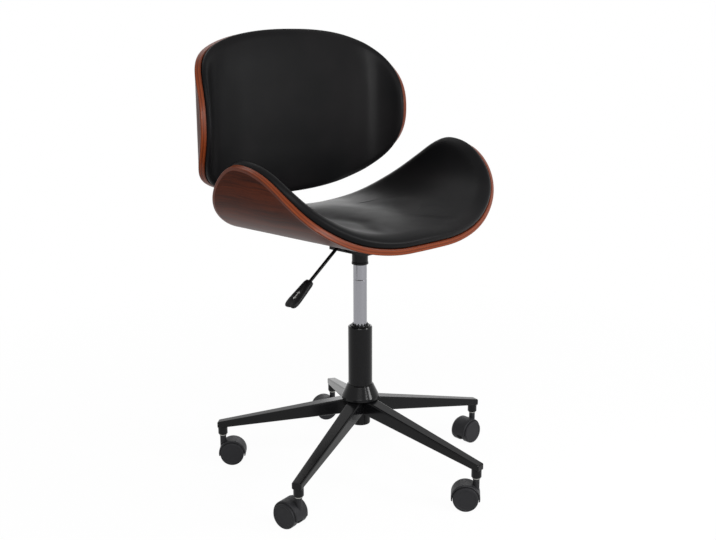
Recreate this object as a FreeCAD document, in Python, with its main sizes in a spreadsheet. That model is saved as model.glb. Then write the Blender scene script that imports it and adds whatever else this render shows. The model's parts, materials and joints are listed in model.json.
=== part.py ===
import FreeCAD, Part
import math
import os

import Sketcher
from FreeCAD import Rotation, Vector

# Swivel chair, millimetres. The origin is on the floor under the column's axis, +Z is up,
# the sitter faces -Y, and +X is to the right of someone who looks at the chair's front.

SIZES = [
    ("base_radius", 296, "column axis to caster stem axis"),
    ("arm_count", 5, "arms and casters"),
    ("arm_turn", -86, "first arm's direction from +X, degrees"),
    ("arm_root_width", 29.5, "arm width at the hub"),
    ("arm_tip_width", 20, "arm width at the tip"),
    ("arm_root_top", 160, "arm's upper face at the hub tube"),
    ("arm_root_bottom", 127, "arm's lower face at the hub tube"),
    ("arm_tip_top", 93, "arm's upper face at its end"),
    ("arm_tip_bottom", 79, "arm's lower face at its end"),
    ("arm_wall", 2, "arm tube's wall"),
    ("arm_round", 3, "rounding of the arm's end"),
    ("arm_gap", 0.05, "half the gap between two arms where they meet at the hub"),
    ("socket_radius", 10, "stem socket's outer radius"),
    ("socket_bottom", 64, "height of the socket's mouth"),
    ("socket_shoulder", 82, "top of the socket's full width, inside the arm"),
    ("socket_top", 90, "top of the socket's spigot"),
    ("socket_spigot", 7.5, "spigot radius"),
    ("stem_radius", 5.5, "grip stem in the socket"),
    ("stem_pin", 3.5, "lower pin that the hood turns on"),
    ("wheel_radius", 25, "caster wheel"),
    ("wheel_inner", 6.3, "wheel's inner face from the caster's middle plane"),
    ("wheel_outer", 22, "wheel's outer face from the middle plane"),
    ("trail", 20, "stem axis to axle"),
    ("hood_radius", 28.5, "hood's outer radius about the axle"),
    ("hood_half", 18, "hood's half width"),
    ("hood_gap", 1, "clearance of hood and tread"),
    ("hood_web", 5.5, "half thickness of the web between the wheels"),
    ("hood_round", 3, "rounding of the hood's outer edges"),
    ("neck_radius", 6.5, "hood's neck round the stem"),
    ("neck_top", 62.2, "top of the neck"),
    ("axle_radius", 3, "caster axle"),
    ("axle_half", 17.5, "half of the axle's length"),
    ("hub_radius", 20.5, "hub tube's outer radius"),
    ("hub_wall", 2.5, "hub tube's wall"),
    ("hub_bottom", 100, "lower end of the hub tube"),
    ("hub_top", 166, "upper end of the hub tube"),
    ("collar_radius", 39, "coned collar's rim"),
    ("collar_bottom", 157.4, "coned collar's rim height"),
    ("collar_top", 188, "coned collar's upper edge"),
    ("column_radius", 25, "gas lift's outer tube"),
    ("column_wall", 2, "outer tube's wall"),
    ("column_top", 313, "outer tube's upper end"),
    ("column_step", 186, "where the outer tube starts to narrow"),
    ("tail_radius", 17.9, "narrowed tail in the hub tube"),
    ("tail_bottom", 103, "lower end of the tail"),
    ("bush_bottom", 233, "guide bush's lower end"),
    ("tube_radius", 14, "lift's pressure tube"),
    ("tube_bottom", 233, "pressure tube's lower end at the top of the stroke"),
    ("tube_taper", 443, "where the tube enters its taper socket"),
    ("tube_top", 475, "pressure tube's upper end"),
    ("tube_tip_radius", 12.85, "tube's radius at its upper end"),
    ("tube_groove", 412, "height of the rolled groove"),
    ("rod_radius", 5, "lift's inner rod"),
    ("rod_bottom", 97, "rod's threaded end under the column"),
    ("rod_top", 262, "top of the piston head"),
    ("pin_radius", 4, "release pin"),
    ("pin_top", 480.2, "release pin's top"),
    ("taper_radius", 16.5, "taper socket's outer radius"),
    ("plate_top", 501, "seat plate's upper face, the shell's underside"),
    ("plate_sheet", 2.5, "plate's sheet thickness"),
    ("plate_half_x", 62, "plate's half width"),
    ("plate_half_y", 95, "plate's half depth"),
    ("box_half_x", 38, "lever housing's half width"),
    ("box_half_y", 50, "lever housing's half depth"),
    ("box_bottom", 472, "lever housing's floor"),
    ("bolt_x", 50, "plate bolts from the middle, sideways"),
    ("bolt_y", 80, "plate bolts from the middle, front to back"),
    ("bolt_radius", 2.9, "bolt shank"),
    ("bolt_head", 6, "bolt head's radius"),
    ("nut_radius", 4, "tee nut's barrel radius"),
    ("nut_flange", 9, "tee nut's flange radius"),
    ("lever_y", 20, "lever's plane behind the column's axis"),
    ("lever_z", 482, "height of the lever's pivot"),
    ("lever_pivot", -28, "pivot's place across the chair"),
    ("lever_bend", -43, "where the rod turns down"),
    ("lever_slope", 37, "rod's slope below level, degrees"),
    ("lever_reach", 108, "length of the sloping rod"),
    ("lever_radius", 3.5, "rod's radius"),
    ("knob_length", 69, "knob's length"),
    ("knob_width", 33, "knob's greatest width"),
    ("sheet", 12, "plywood thickness of seat and back"),
    ("seat_y", 11, "widest line of the seat"),
    ("seat_film", 0.03, "lacquer between the seat sheet and its plate"),
    ("seat_half_arc", 387, "seat's middle to its wing tip, along the sheet"),
    ("seat_front", 199, "widest line to the front edge"),
    ("seat_rear", 219, "widest line to the rear edge"),
    ("seat_front_power", 2.2, "roundness of the front outline"),
    ("seat_rear_power", 1.6, "roundness of the rear outline"),
    ("seat_pad", 32, "seat pad's height above the sheet"),
    ("back_y", 217, "rear face of the back sheet in the middle"),
    ("back_z", 735, "widest line of the back"),
    ("back_half_arc", 322, "back's middle to its side, along the sheet"),
    ("back_lower", 162, "widest line to the lower edge"),
    ("back_upper", 172, "widest line to the upper edge"),
    ("back_power", 2.35, "roundness of the back's outline"),
    ("back_pad", 18, "back pad's height above the sheet"),
    ("pad_inset", 0.8, "pad's edge from the sheet's edge"),
    ("bar_face", 233, "front face of the bracket's upright leg"),
    ("bar_sheet", 6, "bracket's thickness"),
    ("bar_half", 20, "bracket's half width"),
    ("bar_top", 765, "bracket's upper end"),
    ("bar_front", 54, "bracket's front end under the plate"),
    ("bar_bend", 8, "bracket's inner bend radius"),
    ("bar_round", 12, "rounding of the bracket's upper corners"),
    ("bar_bolt_low", 650, "lower back bolt"),
    ("bar_bolt_high", 720, "upper back bolt"),
    ("bar_bolt_front", 66, "front bolt of the bracket under the plate"),
    ("bar_bolt_rear", 84, "rear bolt of the bracket under the plate"),
]

# The bent sheets' sections, as stretches along the sheet from the middle outwards:
# length of the stretch, and the slope that it ends at, in degrees.
SEAT_BENDS = [(50, 0), (100, 14), (110, 38.5), (90, 72), (60, 72)]
BACK_BENDS = [(139, 0), (73, 14), (76, 57), (81, 105)]
# Stations of the sheets' cross sections, as parts of the half arc.
STATIONS = [0, 0.06, 0.12, 0.18, 0.25, 0.33, 0.42, 0.5, 0.58, 0.67, 0.77, 0.86, 0.92, 0.96, 0.985, 0.997]

# The way each caster trails, in degrees from +X. They stand as in the photograph.
TRAIL_DIRECTIONS = [129, 178, 155, -44, 100]

doc = FreeCAD.newDocument("swivel_chair")
dims = doc.addObject("Spreadsheet::Sheet", "dims")
for row, (alias, value, note) in enumerate(SIZES, start=1):
    dims.set(f"A{row}", str(value))
    dims.setAlias(f"A{row}", alias)
    dims.set(f"B{row}", note)
doc.recompute()

subparts = []


def size(alias):
    """A driving dimension's value from the sheet."""
    return float(dims.get(alias))


def at(x="0", y="0", z="0", turn="rotation(vector(0; 0; 1); 0)"):
    """The expression of a placement."""
    return f"placement(vector({x}; {y}; {z}); {turn})"


def about(axis, angle):
    """The expression of a turn about one axis, in degrees."""
    vectors = {"X": "1; 0; 0", "Y": "0; 1; 0", "Z": "0; 0; 1"}
    return f"rotation(vector({vectors[axis]}); {angle})"


def name_it(obj, label, place=None):
    """Makes an object one of the chair's pieces."""
    obj.Label = label
    if place:
        obj.setExpression("Placement", place)
    subparts.append(obj)
    return obj


def box(name, low, high):
    """A box between two corners, each given as three expressions."""
    obj = doc.addObject("Part::Box", name)
    for prop, a, b in zip(("Length", "Width", "Height"), low, high):
        obj.setExpression(prop, f"({b}) - ({a})")
    obj.setExpression("Placement", at(*low))
    return obj


def cylinder(name, radius, start, length, axis="Z"):
    """A cylinder from a start point along an axis."""
    obj = doc.addObject("Part::Cylinder", name)
    obj.setExpression("Radius", radius)
    obj.setExpression("Height", length)
    turns = {"Z": about("Z", 0), "Y": about("X", -90), "X": about("Y", 90)}
    obj.setExpression("Placement", at(*start, turns[axis]))
    return obj


def fuse(name, shapes):
    obj = doc.addObject("Part::MultiFuse", name)
    obj.Shapes = shapes
    return obj


def cut(name, base, tools):
    obj = doc.addObject("Part::Cut", name)
    obj.Base = base
    obj.Tool = tools[0] if len(tools) == 1 else fuse(name + "_tools", tools)
    return obj


def group(name, shapes):
    obj = doc.addObject("Part::Compound", name)
    obj.Links = shapes
    return obj


def plane_of(body, role):
    return [item for item in body.Origin.OriginFeatures if item.Role == role][0]


def outline(body, name, role, points, offset=None):
    """A closed sketch of straight lines whose corners are pairs of expressions."""
    sketch = body.newObject("Sketcher::SketchObject", name)
    sketch.AttachmentSupport = (plane_of(body, role), [""])
    sketch.MapMode = "FlatFace"
    if offset:
        sketch.setExpression("AttachmentOffset", at(z=offset))
    count = len(points)
    rough = [
        Vector(30 * math.cos(2 * math.pi * i / count), 30 * math.sin(2 * math.pi * i / count), 0)
        for i in range(count)
    ]
    for i in range(count):
        sketch.addGeometry(Part.LineSegment(rough[i], rough[(i + 1) % count]), False)
    for i in range(count):
        sketch.addConstraint(Sketcher.Constraint("Coincident", i, 2, (i + 1) % count, 1))
    for i, corner in enumerate(points):
        for kind, start, expression in zip(("DistanceX", "DistanceY"), rough[i], corner):
            number = sketch.addConstraint(Sketcher.Constraint(kind, -1, 1, i, 1, start))
            sketch.setExpression(f"Constraints[{number}]", expression)
    return sketch


def turned(name, points, axis="Z"):
    """A body turned about Z or Y. Each point is a radius and a place along the axis."""
    body = doc.addObject("PartDesign::Body", name)
    profile = outline(body, name + "_profile", "XZ_Plane" if axis == "Z" else "XY_Plane", points)
    turn = body.newObject("PartDesign::Revolution", name + "_turn")
    turn.Profile = profile
    turn.ReferenceAxis = (profile, ["V_Axis"])
    turn.Angle = 360
    return body


def caster_place(k):
    """Caster k stands under its arm's end, turned as the photograph shows it."""
    angle = f"(dims.arm_turn + 360 / dims.arm_count * {k})"
    return at(
        f"dims.base_radius * cos({angle})",
        f"dims.base_radius * sin({angle})",
        "0",
        about("Z", TRAIL_DIRECTIONS[k]),
    )


def make_caster(k):
    """Stem, hood, axle and two wheels. The trail runs along local +X."""
    place = caster_place(k)
    tag = str(k + 1)
    stem = turned("stem" + tag, [
        ("0", "38.5"), ("dims.stem_pin", "38.5"), ("dims.stem_pin", "dims.socket_bottom - 1.5"),
        ("8", "dims.socket_bottom - 1.5"), ("8", "dims.socket_bottom"),
        ("dims.stem_radius", "dims.socket_bottom"), ("dims.stem_radius", "dims.socket_bottom + 22"),
        ("dims.stem_radius - 1.5", "dims.socket_bottom + 24"), ("0", "dims.socket_bottom + 24"),
    ])
    name_it(stem, "caster_stem_" + tag, place)

    round_body = cylinder("hood_drum" + tag, "dims.hood_radius",
                          ("dims.trail", "-dims.hood_half", "dims.wheel_radius"),
                          "dims.hood_half * 2", "Y")
    neck = cylinder("hood_neck" + tag, "dims.neck_radius", ("0", "0", "36"), "dims.neck_top - 36")
    wells = [
        cylinder(f"hood_well{tag}_{side}", "dims.wheel_radius + dims.hood_gap",
                 ("dims.trail", start, "dims.wheel_radius"), "30", "Y")
        for side, start in (("a", "dims.hood_web"), ("b", "-dims.hood_web - 30"))
    ]
    below = box("hood_below" + tag, ("-20", "-30", "-10"), ("60", "30", "dims.wheel_radius - 5"))
    bore = cylinder("hood_bore" + tag, "dims.stem_pin + 0.1", ("0", "0", "38"), "40")
    axle_hole = cylinder("hood_axle_hole" + tag, "dims.axle_radius",
                         ("dims.trail", "-20", "dims.wheel_radius"), "40", "Y")
    softened = doc.addObject("Part::Fillet", "hood_soft" + tag)
    softened.Base = round_body
    doc.recompute()
    soft = size("hood_round")
    softened.Edges = [
        (i, soft, soft)
        for i, edge in enumerate(round_body.Shape.Edges, start=1)
        if edge.Curve.TypeId == "Part::GeomCircle"
    ]
    hood = cut("hood" + tag, fuse("hood_whole" + tag, [softened, neck]),
               wells + [below, bore, axle_hole])
    name_it(hood, "caster_hood_" + tag, place)

    axle = turned("axle" + tag, [
        ("0", "-dims.axle_half"), ("dims.axle_radius - 0.5", "-dims.axle_half"),
        ("dims.axle_radius", "-dims.axle_half + 0.5"), ("dims.axle_radius", "dims.axle_half - 0.5"),
        ("dims.axle_radius - 0.5", "dims.axle_half"), ("0", "dims.axle_half"),
    ], "Y")
    name_it(axle, "caster_axle_" + tag, shifted(place))
    for side, sign in (("a", ""), ("b", "-")):
        wheel = turned("wheel" + tag + side, wheel_profile(sign), "Y")
        name_it(wheel, f"caster_wheel_{tag}{side}", shifted(place))


def shifted(place):
    """A caster's placement, moved along its trail to the axle."""
    return f"{place} * {at('dims.trail', '0', 'dims.wheel_radius')}"


def wheel_profile(sign):
    """The wheel's half section, with a blind bore and a shallow dished face."""
    profile = [
        ("dims.axle_radius + 0.06", "dims.wheel_inner"), ("8", "dims.wheel_inner"),
        ("9", "dims.wheel_inner + 3"), ("20.5", "dims.wheel_inner + 3"),
        ("21.5", "dims.wheel_inner"), ("dims.wheel_radius - 1.5", "dims.wheel_inner"),
        ("dims.wheel_radius", "dims.wheel_inner + 1.5"),
        ("dims.wheel_radius", "dims.wheel_outer - 2.5"),
        ("dims.wheel_radius - 0.7", "dims.wheel_outer - 0.7"),
        ("dims.wheel_radius - 2.5", "dims.wheel_outer"),
        ("20", "dims.wheel_outer"), ("19.3", "dims.wheel_outer - 0.6"),
        ("0", "dims.wheel_outer - 0.6"), ("0", "dims.axle_half + 0.6"),
        ("dims.axle_radius + 0.06", "dims.axle_half + 0.6"),
    ]
    return [(radius, f"{sign}({place})") for radius, place in profile]


def wedge(name, start, end, halves, lows, highs):
    """A solid from start to end along X that tapers evenly in width and in depth."""
    side = doc.addObject("PartDesign::Body", name + "_side")
    side_pad = side.newObject("PartDesign::Pad", name + "_side_pad")
    side_pad.Profile = outline(side, name + "_side_outline", "XZ_Plane", [
        (start, lows[0]), (end, lows[1]), (end, highs[1]), (start, highs[0]),
    ])
    side_pad.SideType = "Symmetric"
    side_pad.setExpression("Length", f"2 * ({halves[0]}) + 10")
    plan = doc.addObject("PartDesign::Body", name + "_plan")
    plan_pad = plan.newObject("PartDesign::Pad", name + "_plan_pad")
    plan_pad.Profile = outline(plan, name + "_plan_outline", "XY_Plane", [
        (start, f"-({halves[0]})"), (end, f"-({halves[1]})"), (end, halves[1]), (start, halves[0]),
    ])
    plan_pad.setExpression("Length", f"({highs[0]}) + 10")
    both = doc.addObject("Part::Common", name)
    both.Base = side
    both.Tool = plan
    return both


def make_arm(k):
    """A tapered rectangular tube from the hub to over the caster socket, mitred to its neighbours."""
    tag = str(k + 1)
    outer = wedge("arm_outer" + tag, "dims.hub_radius - 6", "dims.base_radius + dims.socket_radius",
                  ("dims.arm_root_width / 2", "dims.arm_tip_width / 2"),
                  ("dims.arm_root_bottom", "dims.arm_tip_bottom"),
                  ("dims.arm_root_top", "dims.arm_tip_top"))
    doc.recompute()
    rounded = doc.addObject("Part::Fillet", "arm_rounded" + tag)
    rounded.Base = outer
    soft = size("arm_round")
    rounded.Edges = [
        (i, soft, soft) for i, edge in enumerate(outer.Shape.Edges, start=1)
        if edge.BoundBox.XMax > size("base_radius")
    ]
    hollow = wedge("arm_inner" + tag, "dims.hub_radius - 8", "dims.base_radius - dims.socket_radius - 4",
                   ("dims.arm_root_width / 2 - dims.arm_wall", "dims.arm_tip_width / 2 - dims.arm_wall"),
                   ("dims.arm_root_bottom + dims.arm_wall", "dims.arm_tip_bottom + dims.arm_wall + 3"),
                   ("dims.arm_root_top - dims.arm_wall", "dims.arm_tip_top - dims.arm_wall + 1"))
    mitres = []
    for side, sign, low in (("left", "", "-dims.arm_gap"), ("right", "-", "dims.arm_gap - 40")):
        mitre = box(f"arm_mitre{tag}_{side}", ("0", "0", "0"), ("60", "40", "300"))
        turn = about("Z", f"{sign}180 / dims.arm_count")
        mitre.setExpression("Placement", at(turn=turn) + " * " + at("0", low))
        mitres.append(mitre)
    tube = cut("arm_tube" + tag, rounded, mitres + [
        hollow,
        cylinder("arm_hub_seat" + tag, "dims.hub_radius", ("0", "0", "0"), "300"),
        cylinder("arm_socket_seat" + tag, "dims.socket_radius", ("dims.base_radius", "0", "0"),
                 "dims.socket_shoulder"),
        cylinder("arm_spigot_seat" + tag, "dims.socket_spigot", ("dims.base_radius", "0", "0"),
                 "dims.socket_top"),
    ])
    name_it(tube, "base_arm_" + tag,
            at(turn=about("Z", f"dims.arm_turn + 360 / dims.arm_count * {k}")))


def make_socket(k):
    """The upright socket welded into an arm's end."""
    socket = turned(f"socket{k + 1}", [
        ("dims.stem_radius + 0.05", "dims.socket_bottom"),
        ("dims.socket_radius - 2", "dims.socket_bottom"),
        ("dims.socket_radius", "dims.socket_bottom + 2"),
        ("dims.socket_radius", "dims.socket_shoulder"),
        ("dims.socket_spigot", "dims.socket_shoulder"),
        ("dims.socket_spigot", "dims.socket_top"), ("0", "dims.socket_top"),
        ("0", "dims.socket_top - 1.2"), ("dims.stem_radius + 0.05", "dims.socket_top - 1.2"),
    ])
    angle = f"(dims.arm_turn + 360 / dims.arm_count * {k})"
    name_it(socket, f"stem_socket_{k + 1}",
            at(f"dims.base_radius * cos({angle})", f"dims.base_radius * sin({angle})"))


def make_hub():
    """The tube that the arms are welded to, and the cone over their inner ends."""
    hub = turned("hub", [
        ("dims.hub_radius - dims.hub_wall", "dims.hub_bottom"),
        ("dims.hub_radius - 2", "dims.hub_bottom"),
        ("dims.hub_radius - 0.6", "dims.hub_bottom + 0.6"),
        ("dims.hub_radius", "dims.hub_bottom + 2"),
        ("dims.hub_radius", "dims.hub_top"),
        ("dims.hub_radius - dims.hub_wall", "dims.hub_top"),
    ])
    name_it(hub, "hub_tube")
    collar = turned("collar", [
        ("dims.collar_radius - 1.6", "dims.collar_bottom"), ("dims.collar_radius", "dims.collar_bottom"),
        ("dims.collar_radius", "dims.collar_bottom + 5"),
        ("dims.collar_radius - 1", "dims.collar_bottom + 7"),
        ("dims.column_radius + 2.5", "dims.collar_top - 1.5"),
        ("dims.column_radius + 1", "dims.collar_top"), ("dims.column_radius", "dims.collar_top"),
        ("dims.column_radius", "dims.collar_top - 2.5"),
        ("dims.collar_radius - 2.5", "dims.collar_bottom + 5"),
    ])
    name_it(collar, "hub_collar")


def make_column():
    """The gas lift's outer tube with its narrowed tail, and the guide bush in its mouth."""
    column = turned("column", [
        ("dims.rod_radius + 0.1", "dims.tail_bottom"), ("dims.tail_radius - 1", "dims.tail_bottom"),
        ("dims.tail_radius", "dims.tail_bottom + 1"), ("dims.tail_radius", "dims.column_step - 18"),
        ("dims.column_radius", "dims.column_step"), ("dims.column_radius", "dims.column_top - 2.5"),
        ("dims.column_radius - 0.8", "dims.column_top - 0.8"),
        ("dims.column_radius - 2.5", "dims.column_top"),
        ("dims.column_radius - 4", "dims.column_top"),
        ("dims.column_radius - 4", "dims.column_top - 2"),
        ("dims.column_radius - dims.column_wall", "dims.column_top - 3"),
        ("dims.column_radius - dims.column_wall", "dims.column_step + 2"),
        ("dims.tail_radius - dims.column_wall", "dims.column_step - 16"),
        ("dims.tail_radius - dims.column_wall", "dims.tail_bottom + 4"),
        ("dims.rod_radius + 0.1", "dims.tail_bottom + 4"),
    ])
    name_it(column, "outer_column")
    inner = "dims.tube_radius + 0.1"
    bush = turned("bush", [
        (inner, "dims.bush_bottom"),
        ("dims.column_radius - dims.column_wall", "dims.bush_bottom"),
        ("dims.column_radius - dims.column_wall", "dims.column_top - 3"),
        ("dims.column_radius - 4", "dims.column_top - 2"),
        ("dims.column_radius - 4", "dims.column_top + 0.8"),
        ("dims.column_radius - 5.5", "dims.column_top + 2"), (inner, "dims.column_top + 2"),
    ])
    name_it(bush, "guide_bush")


def make_lift():
    """The rod that stands in the column, and the pressure tube that slides over its head."""
    head = "dims.tube_radius - 2.1"
    rod = turned("rod", [
        ("0", "dims.rod_bottom"), ("dims.rod_radius - 1", "dims.rod_bottom"),
        ("dims.rod_radius - 1", "dims.tail_bottom - 0.5"), ("dims.rod_radius", "dims.tail_bottom - 0.5"),
        ("dims.rod_radius", "dims.rod_top - 12"), (head, "dims.rod_top - 12"),
        (head, "dims.rod_top - 8"), ("dims.tube_radius - 3.5", "dims.rod_top - 7.5"),
        ("dims.tube_radius - 3.5", "dims.rod_top - 4.5"), (head, "dims.rod_top - 4"),
        (head, "dims.rod_top"), ("0", "dims.rod_top"),
    ])
    name_it(rod, "piston_rod")
    bearing = turned("bearing", [
        ("dims.rod_radius", "dims.tail_bottom + 4.3"), ("13", "dims.tail_bottom + 4.3"),
        ("13", "dims.tail_bottom + 6"), ("12", "dims.tail_bottom + 6.6"),
        ("12", "dims.tail_bottom + 8.4"), ("13", "dims.tail_bottom + 9"),
        ("13", "dims.tail_bottom + 11"), ("dims.rod_radius", "dims.tail_bottom + 11"),
    ])
    name_it(bearing, "thrust_bearing")
    clip = turned("clip", [
        ("dims.rod_radius - 1", "dims.tail_bottom - 2"), ("10", "dims.tail_bottom - 2"),
        ("10", "dims.tail_bottom - 0.5"), ("dims.rod_radius - 1", "dims.tail_bottom - 0.5"),
    ])
    name_it(clip, "retaining_clip")
    tube = turned("tube", [
        ("dims.rod_radius + 0.1", "dims.tube_bottom"), ("dims.tube_radius - 1", "dims.tube_bottom"),
        ("dims.tube_radius", "dims.tube_bottom + 1"), ("dims.tube_radius", "dims.tube_groove - 1.2"),
        ("dims.tube_radius - 0.6", "dims.tube_groove"), ("dims.tube_radius", "dims.tube_groove + 1.2"),
        ("dims.tube_radius", "dims.tube_taper"), ("dims.tube_tip_radius", "dims.tube_top"),
        ("dims.pin_radius + 0.1", "dims.tube_top"), ("dims.pin_radius + 0.1", "dims.tube_top - 23"),
        ("0", "dims.tube_top - 23"), ("0", "dims.tube_top - 30"),
        ("dims.tube_radius - 2", "dims.tube_top - 30"), ("dims.tube_radius - 2", "dims.tube_bottom + 12"),
        ("dims.rod_radius + 0.1", "dims.tube_bottom + 12"),
    ])
    name_it(tube, "pressure_tube")
    pin = turned("pin", [
        ("0", "dims.tube_top - 18"), ("dims.pin_radius", "dims.tube_top - 18"),
        ("dims.pin_radius", "dims.pin_top - 1"), ("dims.pin_radius - 1", "dims.pin_top"),
        ("0", "dims.pin_top"),
    ])
    name_it(pin, "release_pin")


def make_plate():
    """The pressed seat plate with its lever housing, and the taper socket welded into it."""
    low = "dims.plate_top - dims.plate_sheet"
    flange = box("plate_flange", ("-dims.plate_half_x", "-dims.plate_half_y", low),
                 ("dims.plate_half_x", "dims.plate_half_y", "dims.plate_top"))
    housing = box("plate_housing", ("-dims.box_half_x", "-dims.box_half_y", "dims.box_bottom"),
                  ("dims.box_half_x", "dims.box_half_y", "dims.plate_top"))
    ears = [
        box(f"plate_ear_{side}", ("dims.lever_pivot - 5", start, "dims.box_bottom + 1"),
            ("dims.lever_pivot + 5", f"{start} + 2.5", "dims.lever_z + 5"))
        for side, start in (("front", "dims.lever_y - 9"), ("rear", "dims.lever_y + 6.5"))
    ]
    inside = box("plate_inside",
                 ("-dims.box_half_x + dims.plate_sheet", "-dims.box_half_y + dims.plate_sheet",
                  "dims.box_bottom + dims.plate_sheet"),
                 ("dims.box_half_x - dims.plate_sheet", "dims.box_half_y - dims.plate_sheet",
                  "dims.plate_top + 1"))
    slot = box("plate_slot", ("-dims.box_half_x - 2", "dims.lever_y - 4.5", "dims.lever_z - 6"),
               ("-dims.box_half_x + 4", "dims.lever_y + 4.5", "dims.lever_z + 7"))
    socket_hole = cylinder("plate_socket_hole", "dims.taper_radius", ("0", "0", "400"), "90")
    pivot_hole = cylinder("plate_pivot_hole", "2.05",
                          ("dims.lever_pivot", "dims.lever_y - 12", "dims.lever_z"), "24", "Y")
    bolt_holes = [
        cylinder(f"plate_bolt_hole{i}", "dims.bolt_radius + 0.2", (x, y, "480"), "30")
        for i, (x, y) in enumerate(seat_bolts())
    ]
    shell = cut("plate_hollow", fuse("plate_outer", [flange, housing]), [inside])
    plate = cut("plate", fuse("plate_whole", [shell] + ears),
                [slot, socket_hole, pivot_hole] + bolt_holes)
    name_it(plate, "seat_plate")
    socket = turned("taper", [
        ("dims.tube_radius + 0.03", "dims.tube_taper"), ("dims.taper_radius - 0.5", "dims.tube_taper"),
        ("dims.taper_radius + 0.7", "dims.tube_taper + 1"),
        ("dims.taper_radius + 0.7", "dims.tube_taper + 4.5"),
        ("dims.taper_radius", "dims.tube_taper + 6"), ("dims.taper_radius", "dims.tube_top + 1"),
        ("dims.tube_tip_radius + 0.03", "dims.tube_top + 1"),
        ("dims.tube_tip_radius + 0.03", "dims.tube_top"),
    ])
    name_it(socket, "taper_socket")


def seat_bolts():
    """Places of the six bolts in the seat sheet: four of the plate, two of the bracket."""
    plate = [(f"{a}dims.bolt_x", f"{b}dims.bolt_y") for a in ("-", "") for b in ("-", "")]
    return plate + [("0", "dims.bar_bolt_front"), ("0", "dims.bar_bolt_rear")]


def bolt_shape(name, under_head, tip):
    """A round-headed bolt along Z, with its head below the given height."""
    return turned(name, [
        ("0", f"{under_head} - 3.6"), ("dims.bolt_head - 2.4", f"{under_head} - 3.6"),
        ("dims.bolt_head - 0.6", f"{under_head} - 2.2"), ("dims.bolt_head", under_head),
        ("dims.bolt_radius", under_head), ("dims.bolt_radius", tip), ("0", tip),
    ])


def nut_shape(name, start, end):
    """A tee nut along Z: a barrel with its wide flange at the far end."""
    return turned(name, [
        ("dims.bolt_radius + 0.05", start), ("dims.nut_radius", start),
        ("dims.nut_radius", f"{end} - 1.2"), ("dims.nut_flange", f"{end} - 1.2"),
        ("dims.nut_flange", end), ("dims.bolt_radius + 0.05", end),
    ])


def make_seat_fasteners():
    """Bolts of the plate and of the bracket, and the tee nuts that they enter."""
    low = "dims.plate_top - dims.plate_sheet"
    tip = "dims.plate_top + dims.sheet - 1.5"
    bolts = []
    nuts = []
    for i, (x, y) in enumerate(seat_bolts()):
        under = low if i < 4 else f"{low} - dims.bar_sheet"
        bolt = bolt_shape(f"seat_bolt{i}", under, tip)
        bolt.setExpression("Placement", at(x, y))
        bolts.append(bolt)
        nut = nut_shape(f"seat_nut{i}", "dims.plate_top + 1", "dims.plate_top + dims.sheet")
        nut.setExpression("Placement", at(x, y))
        nuts.append(nut)
    name_it(group("plate_bolt_group", bolts[:4]), "plate_bolts")
    name_it(group("bracket_bolt_group", bolts[4:]), "bracket_bolts")
    name_it(group("seat_nut_group", nuts), "seat_tee_nuts")


def make_lever():
    """The height lever: a rod that turns on a pin, its tab over the release pin, and its knob."""
    level = cylinder("lever_level", "dims.lever_radius",
                     ("dims.lever_bend", "dims.lever_y", "dims.lever_z"),
                     "6 - dims.lever_bend", "X")
    elbow = doc.addObject("Part::Sphere", "lever_elbow")
    elbow.setExpression("Radius", "dims.lever_radius")
    elbow.setExpression("Placement", at("dims.lever_bend", "dims.lever_y", "dims.lever_z"))
    slope = cylinder("lever_slope_rod", "dims.lever_radius", ("0", "0", "0"), "dims.lever_reach")
    slope.setExpression("Placement", at("dims.lever_bend", "dims.lever_y", "dims.lever_z",
                                        about("Y", "-90 - dims.lever_slope")))
    sleeve = cylinder("lever_sleeve", "5", ("dims.lever_pivot", "dims.lever_y - 5.5", "dims.lever_z"),
                      "11", "Y")
    tab = box("lever_tab", ("-6", "-4.5", "dims.pin_top + 0.3"),
              ("6", "dims.lever_y", "dims.pin_top + 3.3"))
    pin_hole = cylinder("lever_pin_hole", "2.1",
                        ("dims.lever_pivot", "dims.lever_y - 12", "dims.lever_z"), "24", "Y")
    rod = cut("lever", fuse("lever_whole", [level, elbow, slope, sleeve, tab]), [pin_hole])
    name_it(rod, "lever_rod")
    pivot = cylinder("pivot", "2", ("dims.lever_pivot", "dims.lever_y - 10.5", "dims.lever_z"),
                     "21", "Y")
    name_it(pivot, "lever_pivot_pin")
    # The knob is a flattened paddle: its sections are the distance along it, half width
    # and half thickness.
    sections = [(0, 8.5, 6.5), (0.1, 9.7, 7.5), (0.4, 12.2, 7), (0.75, 15, 6), (0.93, 14.5, 5), (1, 12, 3)]
    rings = []
    for i, (along, half_width, half_thick) in enumerate(sections):
        ring = doc.addObject("Part::Ellipse", f"knob_ring{i}")
        ring.setExpression("MajorRadius", f"dims.knob_width * {half_width / 30}")
        ring.MinorRadius = half_thick
        reach = f"(dims.lever_reach - 12 + dims.knob_length * {along})"
        ring.setExpression("Placement", at(
            f"dims.lever_bend - {reach} * cos(dims.lever_slope)", "dims.lever_y",
            f"dims.lever_z - {reach} * sin(dims.lever_slope)",
            about("Y", "-90 - dims.lever_slope") + " * " + about("Z", 90)))
        rings.append(ring)
    loft = doc.addObject("Part::Loft", "knob_loft")
    loft.Sections = rings
    loft.Solid = True
    loft.Ruled = False
    name_it(cut("knob", loft, [slope_copy()]), "lever_knob")


def slope_copy():
    """The hole in the knob that the rod's end fills."""
    hole = cylinder("knob_hole", "dims.lever_radius", ("0", "0", "0"), "dims.lever_reach")
    hole.setExpression("Placement", at("dims.lever_bend", "dims.lever_y", "dims.lever_z",
                                       about("Y", "-90 - dims.lever_slope")))
    return hole


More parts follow.
